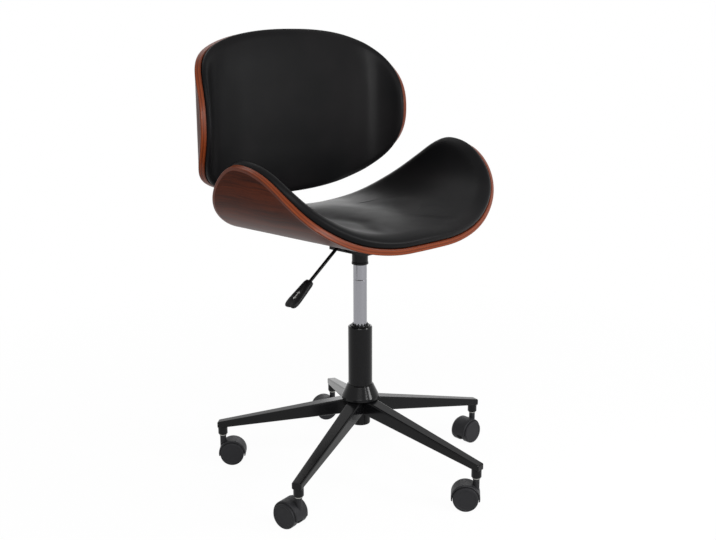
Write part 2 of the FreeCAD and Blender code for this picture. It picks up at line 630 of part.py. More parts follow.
def bend_point(bends, along):
    """Place and slope on a section of tangent arcs at a distance along it."""
    x, w, slope = 0.0, 0.0, 0.0
    left = along
    for length, end in bends:
        step = min(left, length)
        turn = math.radians(end) - slope
        here = slope + turn * step / length
        if abs(turn) < 1e-9:
            x += step * math.cos(slope)
            w += step * math.sin(slope)
        else:
            radius = length / turn
            x += radius * (math.sin(here) - math.sin(slope))
            w += radius * (math.cos(slope) - math.cos(here))
        slope = here
        left -= step
        if left <= 0:
            break
    return x, w, slope


def sheet_edge(part, reach, power):
    """Half the outline's depth at a station, on a rounded outline of the given power."""
    return reach * (1 - part ** power) ** (1 / power)


def frame_at(bends, along):
    """Point and unit normal of the sheet's outer face; a negative distance is the other side."""
    x, w, slope = bend_point(bends, abs(along))
    side = 1 if along >= 0 else -1
    return Vector(side * x, 0, w), Vector(-side * math.sin(slope), 0, math.cos(slope))


def loft_sections(half_arc, make_wire):
    """Lofts one wire per station, from one end of the sheet to the other."""
    parts = [-value for value in reversed(STATIONS[1:])] + STATIONS
    return Part.makeLoft([make_wire(part * half_arc, abs(part)) for part in parts], True, False)


def bent_sheet(bends, half_arc, reaches, powers, thick):
    """A plywood sheet, bent one way only, with square edges all round."""
    def section(along, part):
        base, normal = frame_at(bends, along)
        low = -sheet_edge(part, reaches[0], powers[0])
        high = sheet_edge(part, reaches[1], powers[1])
        corners = [
            base + normal * lift + Vector(0, v, 0)
            for lift, v in ((0, low), (0, high), (thick, high), (thick, low))
        ]
        return Part.makePolygon(corners + corners[:1])
    return loft_sections(half_arc, section)


def bent_pad(bends, half_arc, reaches, powers, thick, height):
    """An upholstered pad on the sheet: flat beneath, crowned above, with rounded edges."""
    inset = size("pad_inset")
    side = height * 0.62

    def section(along, part):
        base, normal = frame_at(bends, along)
        low = -sheet_edge(part, reaches[0] - inset, powers[0])
        high = sheet_edge(part, reaches[1] - inset, powers[1])
        fade = 1 - 0.45 * part ** 6
        edge = min(side, (high - low) * 0.4)
        corner = edge * 0.42

        def point(v, lift):
            return base + normal * (thick + 0.2 + lift) + Vector(0, v, 0)

        middle = (low + high) / 2
        crown = max(height * fade, edge * fade + 0.5)
        shoulder = edge * fade
        front = Part.Arc(point(low, 0), point(low - 1.0, shoulder * 0.5),
                         point(low + corner, shoulder)).toShape()
        top = Part.Arc(point(low + corner, shoulder), point(middle, crown),
                       point(high - corner, shoulder)).toShape()
        rear = Part.Arc(point(high - corner, shoulder), point(high + 1.0, shoulder * 0.5),
                        point(high, 0)).toShape()
        floor = Part.LineSegment(point(high, 0), point(low, 0)).toShape()
        return Part.Wire([front, top, rear, floor])
    return loft_sections(half_arc - inset, section)


def fastener_holes(places, thick):
    """Holes for bolts and tee nuts, with a recess for each flange in the upper face."""
    holes = []
    for x, v in places:
        foot = Vector(x, v, 0)
        holes.append(Part.makeCylinder(size("nut_radius") + 0.05, thick + 4, foot - Vector(0, 0, 2)))
        holes.append(Part.makeCylinder(size("nut_flange") + 0.1, 4, foot + Vector(0, 0, thick - 1.3)))
    return holes


def feature(name, label, shape, base, turn=Rotation()):
    obj = doc.addObject("Part::Feature", name)
    obj.Shape = shape
    obj.Placement = FreeCAD.Placement(base, turn)
    return name_it(obj, label)


def make_seat():
    thick = size("sheet")
    reaches = (size("seat_front"), size("seat_rear"))
    powers = (size("seat_front_power"), size("seat_rear_power"))
    half = size("seat_half_arc")
    base = Vector(0, size("seat_y"), size("plate_top") + size("seat_film"))
    shell = bent_sheet(SEAT_BENDS, half, reaches, powers, thick)
    places = [(a * size("bolt_x"), b * size("bolt_y")) for a in (-1, 1) for b in (-1, 1)]
    places += [(0, size("bar_bolt_front")), (0, size("bar_bolt_rear"))]
    places = [(x, y - base.y) for x, y in places]
    shell = shell.cut(fastener_holes(places, thick))
    feature("seat_sheet", "seat_shell", shell, base)
    pad = bent_pad(SEAT_BENDS, half, reaches, powers, thick, size("seat_pad"))
    feature("seat_cushion", "seat_pad", pad, base)


def make_back():
    """The back is the same kind of sheet, stood up so that its wings come forward."""
    thick = size("sheet")
    reaches = (size("back_lower"), size("back_upper"))
    powers = (size("back_power"), size("back_power"))
    half = size("back_half_arc")
    base = Vector(0, size("back_y"), size("back_z"))
    upright = Rotation(Vector(1, 0, 0), 90)
    shell = bent_sheet(BACK_BENDS, half, reaches, powers, thick)
    places = [(0, size(name) - base.z) for name in ("bar_bolt_low", "bar_bolt_high")]
    shell = shell.cut(fastener_holes(places, thick))
    feature("back_sheet", "back_shell", shell, base, upright)
    pad = bent_pad(BACK_BENDS, half, reaches, powers, thick, size("back_pad"))
    feature("back_cushion", "back_pad", pad, base, upright)


def make_bracket():
    """The bent flat bar that carries the back, with its spacers, bolts and tee nuts."""
    body = doc.addObject("PartDesign::Body", "bar")
    low = "dims.plate_top - dims.plate_sheet - dims.bar_sheet"
    high = "dims.plate_top - dims.plate_sheet"
    profile = outline(body, "bar_profile", "YZ_Plane", [
        ("dims.bar_front", low), ("dims.bar_face + dims.bar_sheet", low),
        ("dims.bar_face + dims.bar_sheet", "dims.bar_top"), ("dims.bar_face", "dims.bar_top"),
        ("dims.bar_face", high), ("dims.bar_front", high),
    ])
    pad = body.newObject("PartDesign::Pad", "bar_pad")
    pad.Profile = profile
    pad.SideType = "Symmetric"
    pad.setExpression("Length", "dims.bar_half * 2")
    doc.recompute()
    corner = size("bar_face")
    inner = [
        f"Edge{i}" for i, edge in enumerate(pad.Shape.Edges, start=1)
        if edge.BoundBox.XLength > 30 and abs(edge.CenterOfMass.y - corner) < 0.1
        and edge.CenterOfMass.z < size("plate_top")
    ]
    bend = body.newObject("PartDesign::Fillet", "bar_inner_bend")
    bend.Base = (pad, inner)
    bend.setExpression("Radius", "dims.bar_bend")
    doc.recompute()
    outer = [
        f"Edge{i}" for i, edge in enumerate(bend.Shape.Edges, start=1)
        if edge.BoundBox.XLength > 30 and abs(edge.CenterOfMass.y - corner - size("bar_sheet")) < 0.1
        and edge.CenterOfMass.z < size("plate_top")
    ]
    round_bend = body.newObject("PartDesign::Fillet", "bar_outer_bend")
    round_bend.Base = (bend, outer)
    round_bend.setExpression("Radius", "dims.bar_bend + dims.bar_sheet")
    doc.recompute()
    tops = [
        f"Edge{i}" for i, edge in enumerate(round_bend.Shape.Edges, start=1)
        if edge.BoundBox.YLength > 5 and edge.BoundBox.YLength < 7
        and edge.CenterOfMass.z > size("bar_top") - 0.1
    ]
    ends = body.newObject("PartDesign::Fillet", "bar_end")
    ends.Base = (round_bend, tops)
    ends.setExpression("Radius", "dims.bar_round")
    doc.recompute()
    hole = "dims.bolt_radius + 0.2"
    holes = [
        cylinder("bar_hole_front", hole, ("0", "dims.bar_bolt_front", "480"), "30"),
        cylinder("bar_hole_rear", hole, ("0", "dims.bar_bolt_rear", "480"), "30"),
        cylinder("bar_hole_low", hole, ("0", "dims.bar_face - 5", "dims.bar_bolt_low"), "20", "Y"),
        cylinder("bar_hole_high", hole, ("0", "dims.bar_face - 5", "dims.bar_bolt_high"), "20", "Y"),
    ]
    name_it(cut("bar_drilled", body, holes), "back_bracket")

    spacers = []
    bolts = []
    nuts = []
    forward = about("X", 90)
    head = "dims.bar_face + dims.bar_sheet"
    for i, level in enumerate(("dims.bar_bolt_low", "dims.bar_bolt_high")):
        spacer = turned(f"spacer{i}", [
            (hole, "0"), ("14", "0"), ("15", "1"), ("15", "dims.bar_face - dims.back_y - 1"),
            ("14", "dims.bar_face - dims.back_y"), (hole, "dims.bar_face - dims.back_y"),
        ])
        spacer.setExpression("Placement", at("0", "dims.bar_face", level, forward))
        spacers.append(spacer)
        bolt = bolt_shape(f"back_bolt{i}", "0", f"{head} - dims.back_y + dims.sheet - 1.5")
        bolt.setExpression("Placement", at("0", head, level, forward))
        bolts.append(bolt)
        nut = nut_shape(f"back_nut{i}", "1", "dims.sheet")
        nut.setExpression("Placement", at("0", "dims.back_y", level, forward))
        nuts.append(nut)
    name_it(group("spacer_group", spacers), "back_spacers")
    name_it(group("back_bolt_group", bolts), "back_bolts")
    name_it(group("back_nut_group", nuts), "back_tee_nuts")


def check_and_export():
    """Stops on any failed object or shape, then writes one file per piece."""
    doc.recompute()
    failed = [o.Name for o in doc.Objects if "Invalid" in o.State or "Error" in o.State]
    if failed:
        raise RuntimeError("failed objects: " + ", ".join(failed))
    for piece in subparts:
        if piece.Shape.isNull() or not piece.Shape.isValid():
            raise RuntimeError("bad shape: " + piece.Label)
    os.makedirs("parts", exist_ok=True)
    for piece in subparts:
        piece.Shape.exportStep(f"parts/{piece.Label}.step")
        solids = len(piece.Shape.Solids)
        print(f"{piece.Label}: {solids} solid(s), {piece.Shape.Volume / 1000:.1f} cm3")


def main():
    for k in range(int(size("arm_count"))):
        make_arm(k)
        make_socket(k)
        make_caster(k)
    make_hub()
    make_column()
    make_lift()
    make_plate()
    make_seat_fasteners()
    make_lever()
    make_seat()
    make_bracket()
    make_back()
    check_and_export()


main()
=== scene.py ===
"""Looks of a swivel chair with a bent walnut seat and back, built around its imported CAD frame.

Metres, in the frame's own axes: origin on the floor under the column, +Z up, the sitter faces -Y.
"""
import json
import math

import bmesh
import bpy
import numpy as np
from bpy.props import FloatProperty, FloatVectorProperty, IntProperty, PointerProperty
from bpy.types import Operator, Panel, PropertyGroup
from mathutils import Matrix, Vector


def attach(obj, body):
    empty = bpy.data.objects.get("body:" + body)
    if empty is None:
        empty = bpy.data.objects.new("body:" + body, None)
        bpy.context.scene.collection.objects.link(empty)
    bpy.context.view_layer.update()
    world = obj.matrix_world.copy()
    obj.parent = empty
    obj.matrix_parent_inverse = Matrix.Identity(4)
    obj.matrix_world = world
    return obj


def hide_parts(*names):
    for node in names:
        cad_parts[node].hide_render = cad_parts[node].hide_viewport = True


bl_info = {
    "name": "Bent-wood swivel chair",
    "version": (1, 0, 0),
    "blender": (4, 5, 0),
    "location": "View3D > Sidebar > Chair",
    "description": "Upholstered bent-wood swivel chair on a five-arm caster base",
    "category": "Add Mesh",
}

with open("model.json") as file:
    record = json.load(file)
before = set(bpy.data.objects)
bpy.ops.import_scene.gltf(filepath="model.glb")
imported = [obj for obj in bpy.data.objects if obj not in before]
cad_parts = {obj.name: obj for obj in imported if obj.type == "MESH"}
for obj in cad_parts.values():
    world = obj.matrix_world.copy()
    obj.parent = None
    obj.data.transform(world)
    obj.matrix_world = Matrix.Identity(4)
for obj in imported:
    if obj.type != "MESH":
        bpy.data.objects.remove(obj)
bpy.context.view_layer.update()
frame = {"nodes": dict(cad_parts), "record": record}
MM = 0.001
IMAGE_WIDTH = 716

# The bent sheets' sections, from the middle outwards: length of the stretch in metres,
# and the slope that it ends at, in degrees. They are the CAD model's own values.
SEAT_BENDS = [(0.050, 0), (0.100, 14), (0.110, 38.5), (0.090, 72), (0.060, 72)]
BACK_BENDS = [(0.139, 0), (0.073, 14), (0.076, 57), (0.081, 105)]
# Flat outlines: half arc, reach to the front or lower edge, reach to the rear or upper edge,
# and how round each of the two halves is.
SEAT_OUTLINE = (0.387, 0.199, 0.219, 2.2, 1.6)
BACK_OUTLINE = (0.322, 0.162, 0.172, 2.35, 2.35)
SEAT_PLACE = Matrix.Translation((0, 0.011, 0.501))
BACK_PLACE = Matrix.Translation((0, 0.217, 0.735)) @ Matrix.Rotation(math.radians(90), 4, "X")

# Points round a sheet's or pad's outline, and how finely the outline is measured for them.
RIM_POINTS = 176
OUTLINE_SAMPLES = 8001
# The rings inside the edge shrink to this share of the outline, where the middle patch starts.
PATCH_SHARE = 0.5
SHEET_RINGS = 10
# Rings of a pad between its rolled edge and its middle patch, and the steps and angle of the roll.
PAD_RINGS = 12
ROLL_STEPS = 7
ROLL_TURN = math.radians(62)
# Where the height lever's rod turns down, and its slope below level in degrees.
LEVER_BEND = Vector((-0.043, 0.020, 0.482))
LEVER_SLOPE = 37
# Mouth of the gas lift's outer tube.
BUSH_TOP = 0.315
# The bolts' places in millimetres: under the seat plate, under the bracket's foot and behind
# the back.
PLATE_LOW = 498.5
BRACKET_LOW = PLATE_LOW - 6
PLATE_BOLTS = [(x, y, PLATE_LOW) for x in (-50, 50) for y in (-80, 80)]
BRACKET_BOLTS = [(0, y, BRACKET_LOW) for y in (66, 84)]
BACK_BOLTS = [(0, 239, z) for z in (650, 720)]
CLOTH_FRAMES = 20
CAMERA_AT = Vector((-1.4040, -1.3982, 0.9024))
CAMERA_LOOKS_AT = Vector((-0.0029, 0.0029, 0.4303))
CAMERA_ROLL = -0.18
CAMERA_FOCAL_PIXELS = 1000
LAMPS_LOOK_AT = Vector((0, 0, 0.55))


def rgb(code):
    """An sRGB hex colour as linear red, green, blue and alpha."""
    parts = [int(code[i:i + 2], 16) / 255 for i in (1, 3, 5)]
    return [c / 12.92 if c <= 0.04045 else ((c + 0.055) / 1.055) ** 2.4 for c in parts] + [1.0]


def node(tree, kind, sockets=None, **settings):
    """Adds one node with its settings, and with what its sockets hold or are linked from."""
    made = tree.nodes.new(kind)
    for name, value in settings.items():
        setattr(made, name, value)
    for key, value in (sockets or {}).items():
        if isinstance(value, bpy.types.NodeSocket):
            tree.links.new(value, made.inputs[key])
        else:
            made.inputs[key].default_value = value
    return made


def colour_property(name, description, code):
    return FloatVectorProperty(name=name, description=description, subtype="COLOR", size=4,
                               min=0, max=1, default=rgb(code))


def length_property(name, description, value):
    return FloatProperty(name=name, description=description, unit="LENGTH", min=0, default=value)


class ChairWood(PropertyGroup):
    thickness: length_property("Thickness", "Plywood thickness of seat and back", 12 * MM)
    edge_round: length_property("Edge rounding", "Sanded rounding of the sheet's edges", 1.3 * MM)
    ply: length_property("Ply", "Thickness of one layer in the edge", 1.35 * MM)
    dark: colour_property("Dark grain", "Late wood and pores of the stained walnut", "#2c0e04")
    light: colour_property("Light grain", "Early wood of the stained walnut", "#50200c")
    edge_dark: colour_property("Dark ply", "Stained cross layers in the edge", "#4a1c0b")
    edge_light: colour_property("Light ply", "Stained long layers in the edge", "#763516")


class ChairPads(PropertyGroup):
    seat_height: length_property("Seat pad", "Seat pad's crown above the sheet", 32 * MM)
    back_height: length_property("Back pad", "Back pad's crown above the sheet", 18 * MM)
    inset: length_property("Inset", "Pad's edge from the sheet's edge", 0.8 * MM)
    overhang: length_property("Overhang", "How far the rolled edge stands out", 3.2 * MM)
    puff: length_property("Puff", "The most that a point may move in the simulation", 4 * MM)
    pressure: FloatProperty(name="Pressure", description="Cloth pressure of the foam", min=0,
                            default=0.4)
    leather: colour_property("Leather", "Coated leather", "#0b0b0c")
    leather_worn: colour_property("Leather, worn", "Coated leather where it is rubbed", "#100f10")


class ChairMetal(PropertyGroup):
    paint: colour_property("Paint", "Gloss paint of base, plate and bracket", "#0d0d0e")
    nylon: colour_property("Nylon", "Moulded casters", "#232325")
    plastic: colour_property("Plastic", "Lever knob and guide bush", "#161617")
    chrome: colour_property("Chrome", "Plated pressure tube", "#939398")
    bolt_head: length_property("Bolt head", "Radius of the bolts' domed heads", 6 * MM)
    knob_start: length_property("Paddle's start", "Rod's bend to the lever's paddle", 96 * MM)
    knob_length: length_property("Paddle length", "Length of the lever's paddle", 69 * MM)
    knob_width: length_property("Paddle width", "Greatest width of the lever's paddle", 33 * MM)
    teeth: IntProperty(name="Teeth", description="Clips round the guide bush", min=3, default=12)


class ChairStage(PropertyGroup):
    floor: colour_property("Floor", "Pale studio floor", "#f4f4f3")
    fill: FloatProperty(name="Fill", description="Strength of the surrounding light", min=0,
                        default=0.35)
    key: FloatProperty(name="Key", description="Power of the main lamp", unit="POWER", min=0,
                       default=40)


def new_material(name, shader_sockets, build=None):
    """A material with one Principled shader. build adds the pattern and returns its links."""
    made = bpy.data.materials.new(name)
    made.use_nodes = True
    tree = made.node_tree
    tree.nodes.clear()
    shader = node(tree, "ShaderNodeBsdfPrincipled", shader_sockets)
    for key, socket in (build(tree) if build else {}).items():
        tree.links.new(socket, shader.inputs[key])
    node(tree, "ShaderNodeOutputMaterial", {"Surface": shader.outputs["BSDF"]})
    return made


def ranged(tree, value, low, high, start=0.0, end=1.0, **settings):
    """The value's stretch from start to end, mapped to low and high."""
    return node(tree, "ShaderNodeMapRange", {"Value": value, "From Min": start, "From Max": end,
                                             "To Min": low, "To Max": high}, **settings).outputs[0]


def bumped(tree, height, strength, millimetres, **more):
    """The normal of a bump of that height in real millimetres."""
    return node(tree, "ShaderNodeBump", {"Height": height, "Strength": strength,
                                         "Distance": millimetres * MM, **more}).outputs[0]


def blended(tree, factor, first, second):
    """The colour between first and second."""
    mix = node(tree, "ShaderNodeMix", {"Factor": factor, "A": first, "B": second},
               data_type="RGBA")
    return [out for out in mix.outputs if out.type == "RGBA"][0]


def noise(tree, place, scale, detail, **more):
    """Noise in object or sheet coordinates."""
    return node(tree, "ShaderNodeTexNoise",
                {"Vector": place, "Scale": scale, "Detail": detail, **more})


def object_place(tree):
    return node(tree, "ShaderNodeTexCoord").outputs["Object"]


def lacquered_walnut():
    """Flat-cut walnut veneer, stained and satin lacquered: dark lines drawn out along the
    grain, short open pores, and slow changes of tone across the leaf."""
    wood = bpy.context.scene.chair_wood

    def build(tree):
        place = node(tree, "ShaderNodeUVMap", uv_map="sheet").outputs["UV"]
        # Slow wander of the grain lines, a few millimetres over a hand's breadth.
        wander = noise(tree, place, 7.0, 2.0, Roughness=0.4)
        shift = node(tree, "ShaderNodeVectorMath",
                     {0: wander.outputs["Color"], 1: (0.5, 0.5, 0.5)}, operation="SUBTRACT")
        small = node(tree, "ShaderNodeVectorMath", {0: shift.outputs[0], 1: (0.035, 0.0, 0.0)},
                     operation="MULTIPLY")
        wandering = node(tree, "ShaderNodeVectorMath", {0: place, 1: small.outputs[0]},
                         operation="ADD")
        # Grain lines about 3 mm apart and 110 mm long, tone patches 35 mm by 450 mm,
        # and pores 0.6 mm wide and 14 mm long.
        layers = {}
        for name, across, along, detail in (("lines", 3.0, 110, 5.0), ("tone", 35, 450, 3.0),
                                            ("pores", 0.6, 14, 1.0)):
            stretched = node(tree, "ShaderNodeMapping",
                             {"Vector": wandering.outputs[0],
                              "Scale": (1000 / across, 1000 / along, 1.0)})
            layers[name] = noise(tree, stretched.outputs[0], 1.0, detail,
                                 Roughness=0.6).outputs[0]
        tone = node(tree, "ShaderNodeMath", {0: layers["tone"], 1: 0.55}, operation="MULTIPLY")
        figure = node(tree, "ShaderNodeMath", {0: layers["lines"], 1: 0.45, 2: tone.outputs[0]},
                      operation="MULTIPLY_ADD")
        ramp = ranged(tree, figure.outputs[0], 0.0, 1.0, 0.36, 0.64,
                      interpolation_type="SMOOTHSTEP")
        stained = blended(tree, ramp, wood.dark, wood.light)
        # The open pores are dark and lie a little deeper.
        pores = ranged(tree, layers["pores"], 0.55, 1.0, 0.3, 0.42)
        darkened = node(tree, "ShaderNodeVectorMath", {0: stained, "Scale": pores},
                        operation="SCALE")
        return {"Base Color": darkened.outputs[0],
                "Roughness": ranged(tree, layers["lines"], 0.30, 0.42),
                "Normal": bumped(tree, pores, 0.25, 0.08)}

    return new_material("lacquered_walnut", {"IOR": 1.5, "Specular IOR Level": 0.03}, build)


def stained_ply_edge():
    """The sanded and stained edge of the plywood: thin layers, some end grain and some long
    grain, which take the stain in two tones under the same satin lacquer."""
    wood = bpy.context.scene.chair_wood

    def build(tree):
        place = node(tree, "ShaderNodeUVMap", uv_map="sheet").outputs["UV"]
        parts = node(tree, "ShaderNodeSeparateXYZ", {0: place})
        layer = node(tree, "ShaderNodeMath", {0: parts.outputs["Y"], 1: 2 * wood.ply},
                     operation="PINGPONG")
        stripe = ranged(tree, layer.outputs[0], 0.0, 1.0, 0.42 * 2 * wood.ply,
                        0.58 * 2 * wood.ply)
        stretched = node(tree, "ShaderNodeMapping", {"Vector": place, "Scale": (28, 900, 1)})
        fibres = noise(tree, stretched.outputs[0], 1.0, 4.0, Roughness=0.65)
        mixed = node(tree, "ShaderNodeMath", {0: stripe, 1: 0.35}, operation="MULTIPLY")
        tone = node(tree, "ShaderNodeMath", {0: fibres.outputs[0], 1: 0.9, 2: mixed.outputs[0]},
                    operation="MULTIPLY_ADD")
        ramp = ranged(tree, tone.outputs[0], 0.0, 1.0, 0.30, 1.0)
        return {"Base Color": blended(tree, ramp, wood.edge_dark, wood.edge_light),
                "Normal": bumped(tree, tone.outputs[0], 0.3, 0.1)}

    return new_material("stained_ply_edge", {"IOR": 1.5, "Roughness": 0.38,
                                             "Specular IOR Level": 0.12, "Coat Weight": 0.04,
                                             "Coat Roughness": 0.2}, build)


def coated_leather():
    """Polyurethane-coated leather, embossed: a soft sheen broken by pebbled grain. The grain is
    1.7 mm where the real one is about 1 mm, so that it shows in the render."""
    pads = bpy.context.scene.chair_pads

    def build(tree):
        place = object_place(tree)
        pebbles = node(tree, "ShaderNodeTexVoronoi", {"Vector": place, "Scale": 1000 / 1.7,
                                                      "Smoothness": 0.6, "Randomness": 0.9},
                       feature="SMOOTH_F1")
        creases = noise(tree, place, 26.0, 3.0, Roughness=0.5, Distortion=0.4).outputs[0]
        rubbed = noise(tree, place, 9.0, 2.0).outputs[0]
        worn = ranged(tree, rubbed, 0.0, 1.0, 0.4, 0.65)
        fine = node(tree, "ShaderNodeBump", {"Height": pebbles.outputs["Distance"],
                                             "Strength": 0.35, "Distance": 0.12 * MM}, invert=True)
        return {"Base Color": blended(tree, worn, pads.leather, pads.leather_worn),
                "Roughness": ranged(tree, creases, 0.38, 0.46),
                "Normal": bumped(tree, creases, 0.35, 0.4, Normal=fine.outputs[0])}

    return new_material("coated_leather", {"IOR": 1.45, "Specular IOR Level": 0.08}, build)


def gloss_paint(name, paint, roughness):
    """Powder coat on steel, gloss or satin, with the coat's faint orange peel every 2.5 mm."""
    def build(tree):
        place = object_place(tree)
        peel = noise(tree, place, 1000 / 2.5, 1.0).outputs[0]
        dust = noise(tree, place, 35.0, 3.0).outputs[0]
        return {"Roughness": ranged(tree, dust, roughness * 0.8, roughness * 1.3),
                "Normal": bumped(tree, peel, 0.06, 0.05)}

    return new_material(name, {"Base Color": paint, "IOR": 1.5, "Specular IOR Level": 0.16}, build)


def moulded_plastic(name, colour, roughness, grain):
    """Injection-moulded polymer with a spark-eroded texture of the given grain in millimetres."""
    def build(tree):
        place = object_place(tree)
        spark = noise(tree, place, 1000 / grain, 2.0).outputs[0]
        scuffs = noise(tree, place, 60.0, 4.0).outputs[0]
        return {"Roughness": ranged(tree, scuffs, roughness - 0.08, roughness + 0.08),
                "Normal": bumped(tree, spark, 0.2, 0.06)}

    return new_material(name, {"Base Color": colour, "IOR": 1.53, "Specular IOR Level": 0.12},
                        build)


def turned_metal(name, colour, roughness):
    """Ground and plated steel: fine rings round the axis that draw highlights out upwards."""
    def build(tree):
        rings = node(tree, "ShaderNodeMapping", {"Vector": object_place(tree),
                                                 "Scale": (3, 3, 1000 / 0.8)})
        grind = noise(tree, rings.outputs[0], 1.0, 3.0).outputs[0]
        return {"Roughness": ranged(tree, grind, roughness * 0.8, roughness * 1.25),
                "Normal": bumped(tree, grind, 0.1, 0.02)}

    return new_material(name, {"Base Color": colour, "Metallic": 1.0}, build)


def finish(name):
    """The material of that name, made on its first use."""
    found = bpy.data.materials.get(name)
    if found:
        return found
    metal = bpy.context.scene.chair_metal
    makers = {
        "lacquered_walnut": lacquered_walnut,
        "stained_ply_edge": stained_ply_edge,
        "coated_leather": coated_leather,
        "gloss_black_paint": lambda: gloss_paint("gloss_black_paint", metal.paint, 0.16),
        "satin_black_paint": lambda: gloss_paint("satin_black_paint", metal.paint, 0.32),
        "moulded_nylon": lambda: moulded_plastic("moulded_nylon", metal.nylon, 0.48, 0.8),
        "white_print": lambda: moulded_plastic("white_print", rgb("#a8a8a6"), 0.5, 1.5),
        "moulded_abs": lambda: moulded_plastic("moulded_abs", metal.plastic, 0.38, 0.6),
        "plated_steel": lambda: turned_metal("plated_steel", metal.chrome, 0.24),
        "zinc_steel": lambda: turned_metal("zinc_steel", rgb("#9a9a96"), 0.35),
    }
    return makers[name]()


def calculator(tree):
    """A function that adds one Math node to the tree and gives its output."""
    def calc(operation, *values):
        return node(tree, "ShaderNodeMath", dict(enumerate(values)), operation=operation).outputs[0]
    return calc


def add_sockets(tree, side, kind, *names):
    """Adds named sockets of one kind to the tree's inputs or outputs."""
    for name in names:
        tree.interface.new_socket(name, in_out=side, socket_type=f"NodeSocket{kind}")


def bend_tree(stretches):
    """Geometry nodes that bend a flat sheet: X is the distance along the section, Z the height
    above its outer face. Each stretch has a length and the slope that it ends at."""
    tree = bpy.data.node_groups.new(f"bend_{stretches}", "GeometryNodeTree")
    add_sockets(tree, "INPUT", "Geometry", "Sheet")
    for i in range(1, stretches + 1):
        add_sockets(tree, "INPUT", "Float", f"Length {i}", f"Slope {i}")
    add_sockets(tree, "INPUT", "Material", "Face finish", "Edge finish")
    add_sockets(tree, "OUTPUT", "Geometry", "Sheet")

    start = node(tree, "NodeGroupInput")
    place = node(tree, "GeometryNodeInputPosition")
    flat = node(tree, "ShaderNodeSeparateXYZ", {0: place.outputs[0]})
    calc = calculator(tree)
    left = calc("ABSOLUTE", flat.outputs["X"])
    side = calc("SIGN", flat.outputs["X"])
    along, rise, slope, before = 0.0, 0.0, 0.0, 0.0
    for i in range(1, stretches + 1):
        length = start.outputs[f"Length {i}"]
        end = start.outputs[f"Slope {i}"]
        step = calc("MAXIMUM", calc("MINIMUM", left, length), 0.0)
        left = calc("SUBTRACT", left, length)
        turn = calc("DIVIDE", calc("MULTIPLY", calc("SUBTRACT", end, before), step), length)
        # A chord of the arc: its length shrinks by sin(x) / x, where x is half the turn.
        half = calc("MAXIMUM", calc("MULTIPLY", turn, 0.5), 1e-5)
        chord = calc("MULTIPLY", step, calc("DIVIDE", calc("SINE", half), half))
        heading = calc("ADD", slope, half)
        along = calc("MULTIPLY_ADD", chord, calc("COSINE", heading), along)
        rise = calc("MULTIPLY_ADD", chord, calc("SINE", heading), rise)
        slope = calc("ADD", slope, turn)
        before = end
    lift = flat.outputs["Z"]
    inward = calc("MULTIPLY", lift, calc("SINE", slope))
    bent = node(tree, "ShaderNodeCombineXYZ", {
        "X": calc("MULTIPLY", side, calc("SUBTRACT", along, inward)),
        "Y": flat.outputs["Y"],
        "Z": calc("MULTIPLY_ADD", lift, calc("COSINE", slope), rise),
    })
    moved = node(tree, "GeometryNodeSetPosition", {"Geometry": start.outputs["Sheet"],
                                                   "Position": bent.outputs[0]})
    real = node(tree, "GeometryNodeRealizeInstances", {0: moved.outputs[0]})
    faced = node(tree, "GeometryNodeSetMaterial", {"Geometry": real.outputs[0],
                                                   "Material": start.outputs["Face finish"]})
    rim = node(tree, "GeometryNodeInputNamedAttribute", {"Name": "rim"}, data_type="BOOLEAN")
    edged = node(tree, "GeometryNodeSetMaterial", {"Geometry": faced.outputs[0],
                                                   "Selection": rim.outputs["Attribute"],
                                                   "Material": start.outputs["Edge finish"]})
    node(tree, "NodeGroupOutput", {0: edged.outputs[0]})
    return tree


def run_tree(obj, tree, inputs):
    """Runs a geometry tree on an object and keeps the result as its plain mesh."""
    modifier = obj.modifiers.new(tree.name, "NODES")
    modifier.node_group = tree
    for item in tree.interface.items_tree:
        if item.in_out == "INPUT" and item.name in inputs:
            modifier[item.identifier] = inputs[item.name]
    bpy.context.view_layer.update()
    made = obj.evaluated_get(bpy.context.evaluated_depsgraph_get())
    mesh = bpy.data.meshes.new_from_object(made)
    mesh.name = obj.name
    obj.modifiers.remove(modifier)
    obj.data = mesh


def link(name, data):
    obj = bpy.data.objects.new(name, data)
    bpy.context.scene.collection.objects.link(obj)
    return obj


def flat_outline(outline, count):
    """Points evenly spaced round a flat outline, anticlockwise from +X, and inward normals."""
    half, front, rear, front_power, rear_power = outline
    turn = np.linspace(0, 2 * np.pi, OUTLINE_SAMPLES)
    cosine, sine = np.cos(turn), np.sin(turn)
    reach = np.where(sine < 0, front, rear)
    power = np.where(sine < 0, front_power, rear_power)
    x = half * np.sign(cosine) * np.abs(cosine) ** (2 / power)
    y = reach * np.sign(sine) * np.abs(sine) ** (2 / power)
    length = np.concatenate([[0], np.cumsum(np.hypot(np.diff(x), np.diff(y)))])
    even = np.linspace(0, length[-1], count, endpoint=False)
    points = np.stack([np.interp(even, length, x), np.interp(even, length, y)], 1)
    tangent = np.roll(points, -1, 0) - np.roll(points, 1, 0)
    tangent /= np.linalg.norm(tangent, axis=1)[:, None]
    inward = np.stack([-tangent[:, 1], tangent[:, 0]], 1)
    return points, inward, even


def share_out(points, outline, inset):
    """0 in the middle of the outline and 1 on its inset edge."""
    half, front, rear, front_power, rear_power = outline
    reach = np.where(points[:, 1] < 0, front - inset, rear - inset)
    power = np.where(points[:, 1] < 0, front_power, rear_power)
    across = np.abs(points[:, 0] / (half - inset)) ** power
    return np.minimum((across + np.abs(points[:, 1] / reach) ** power) ** (1 / power), 1)


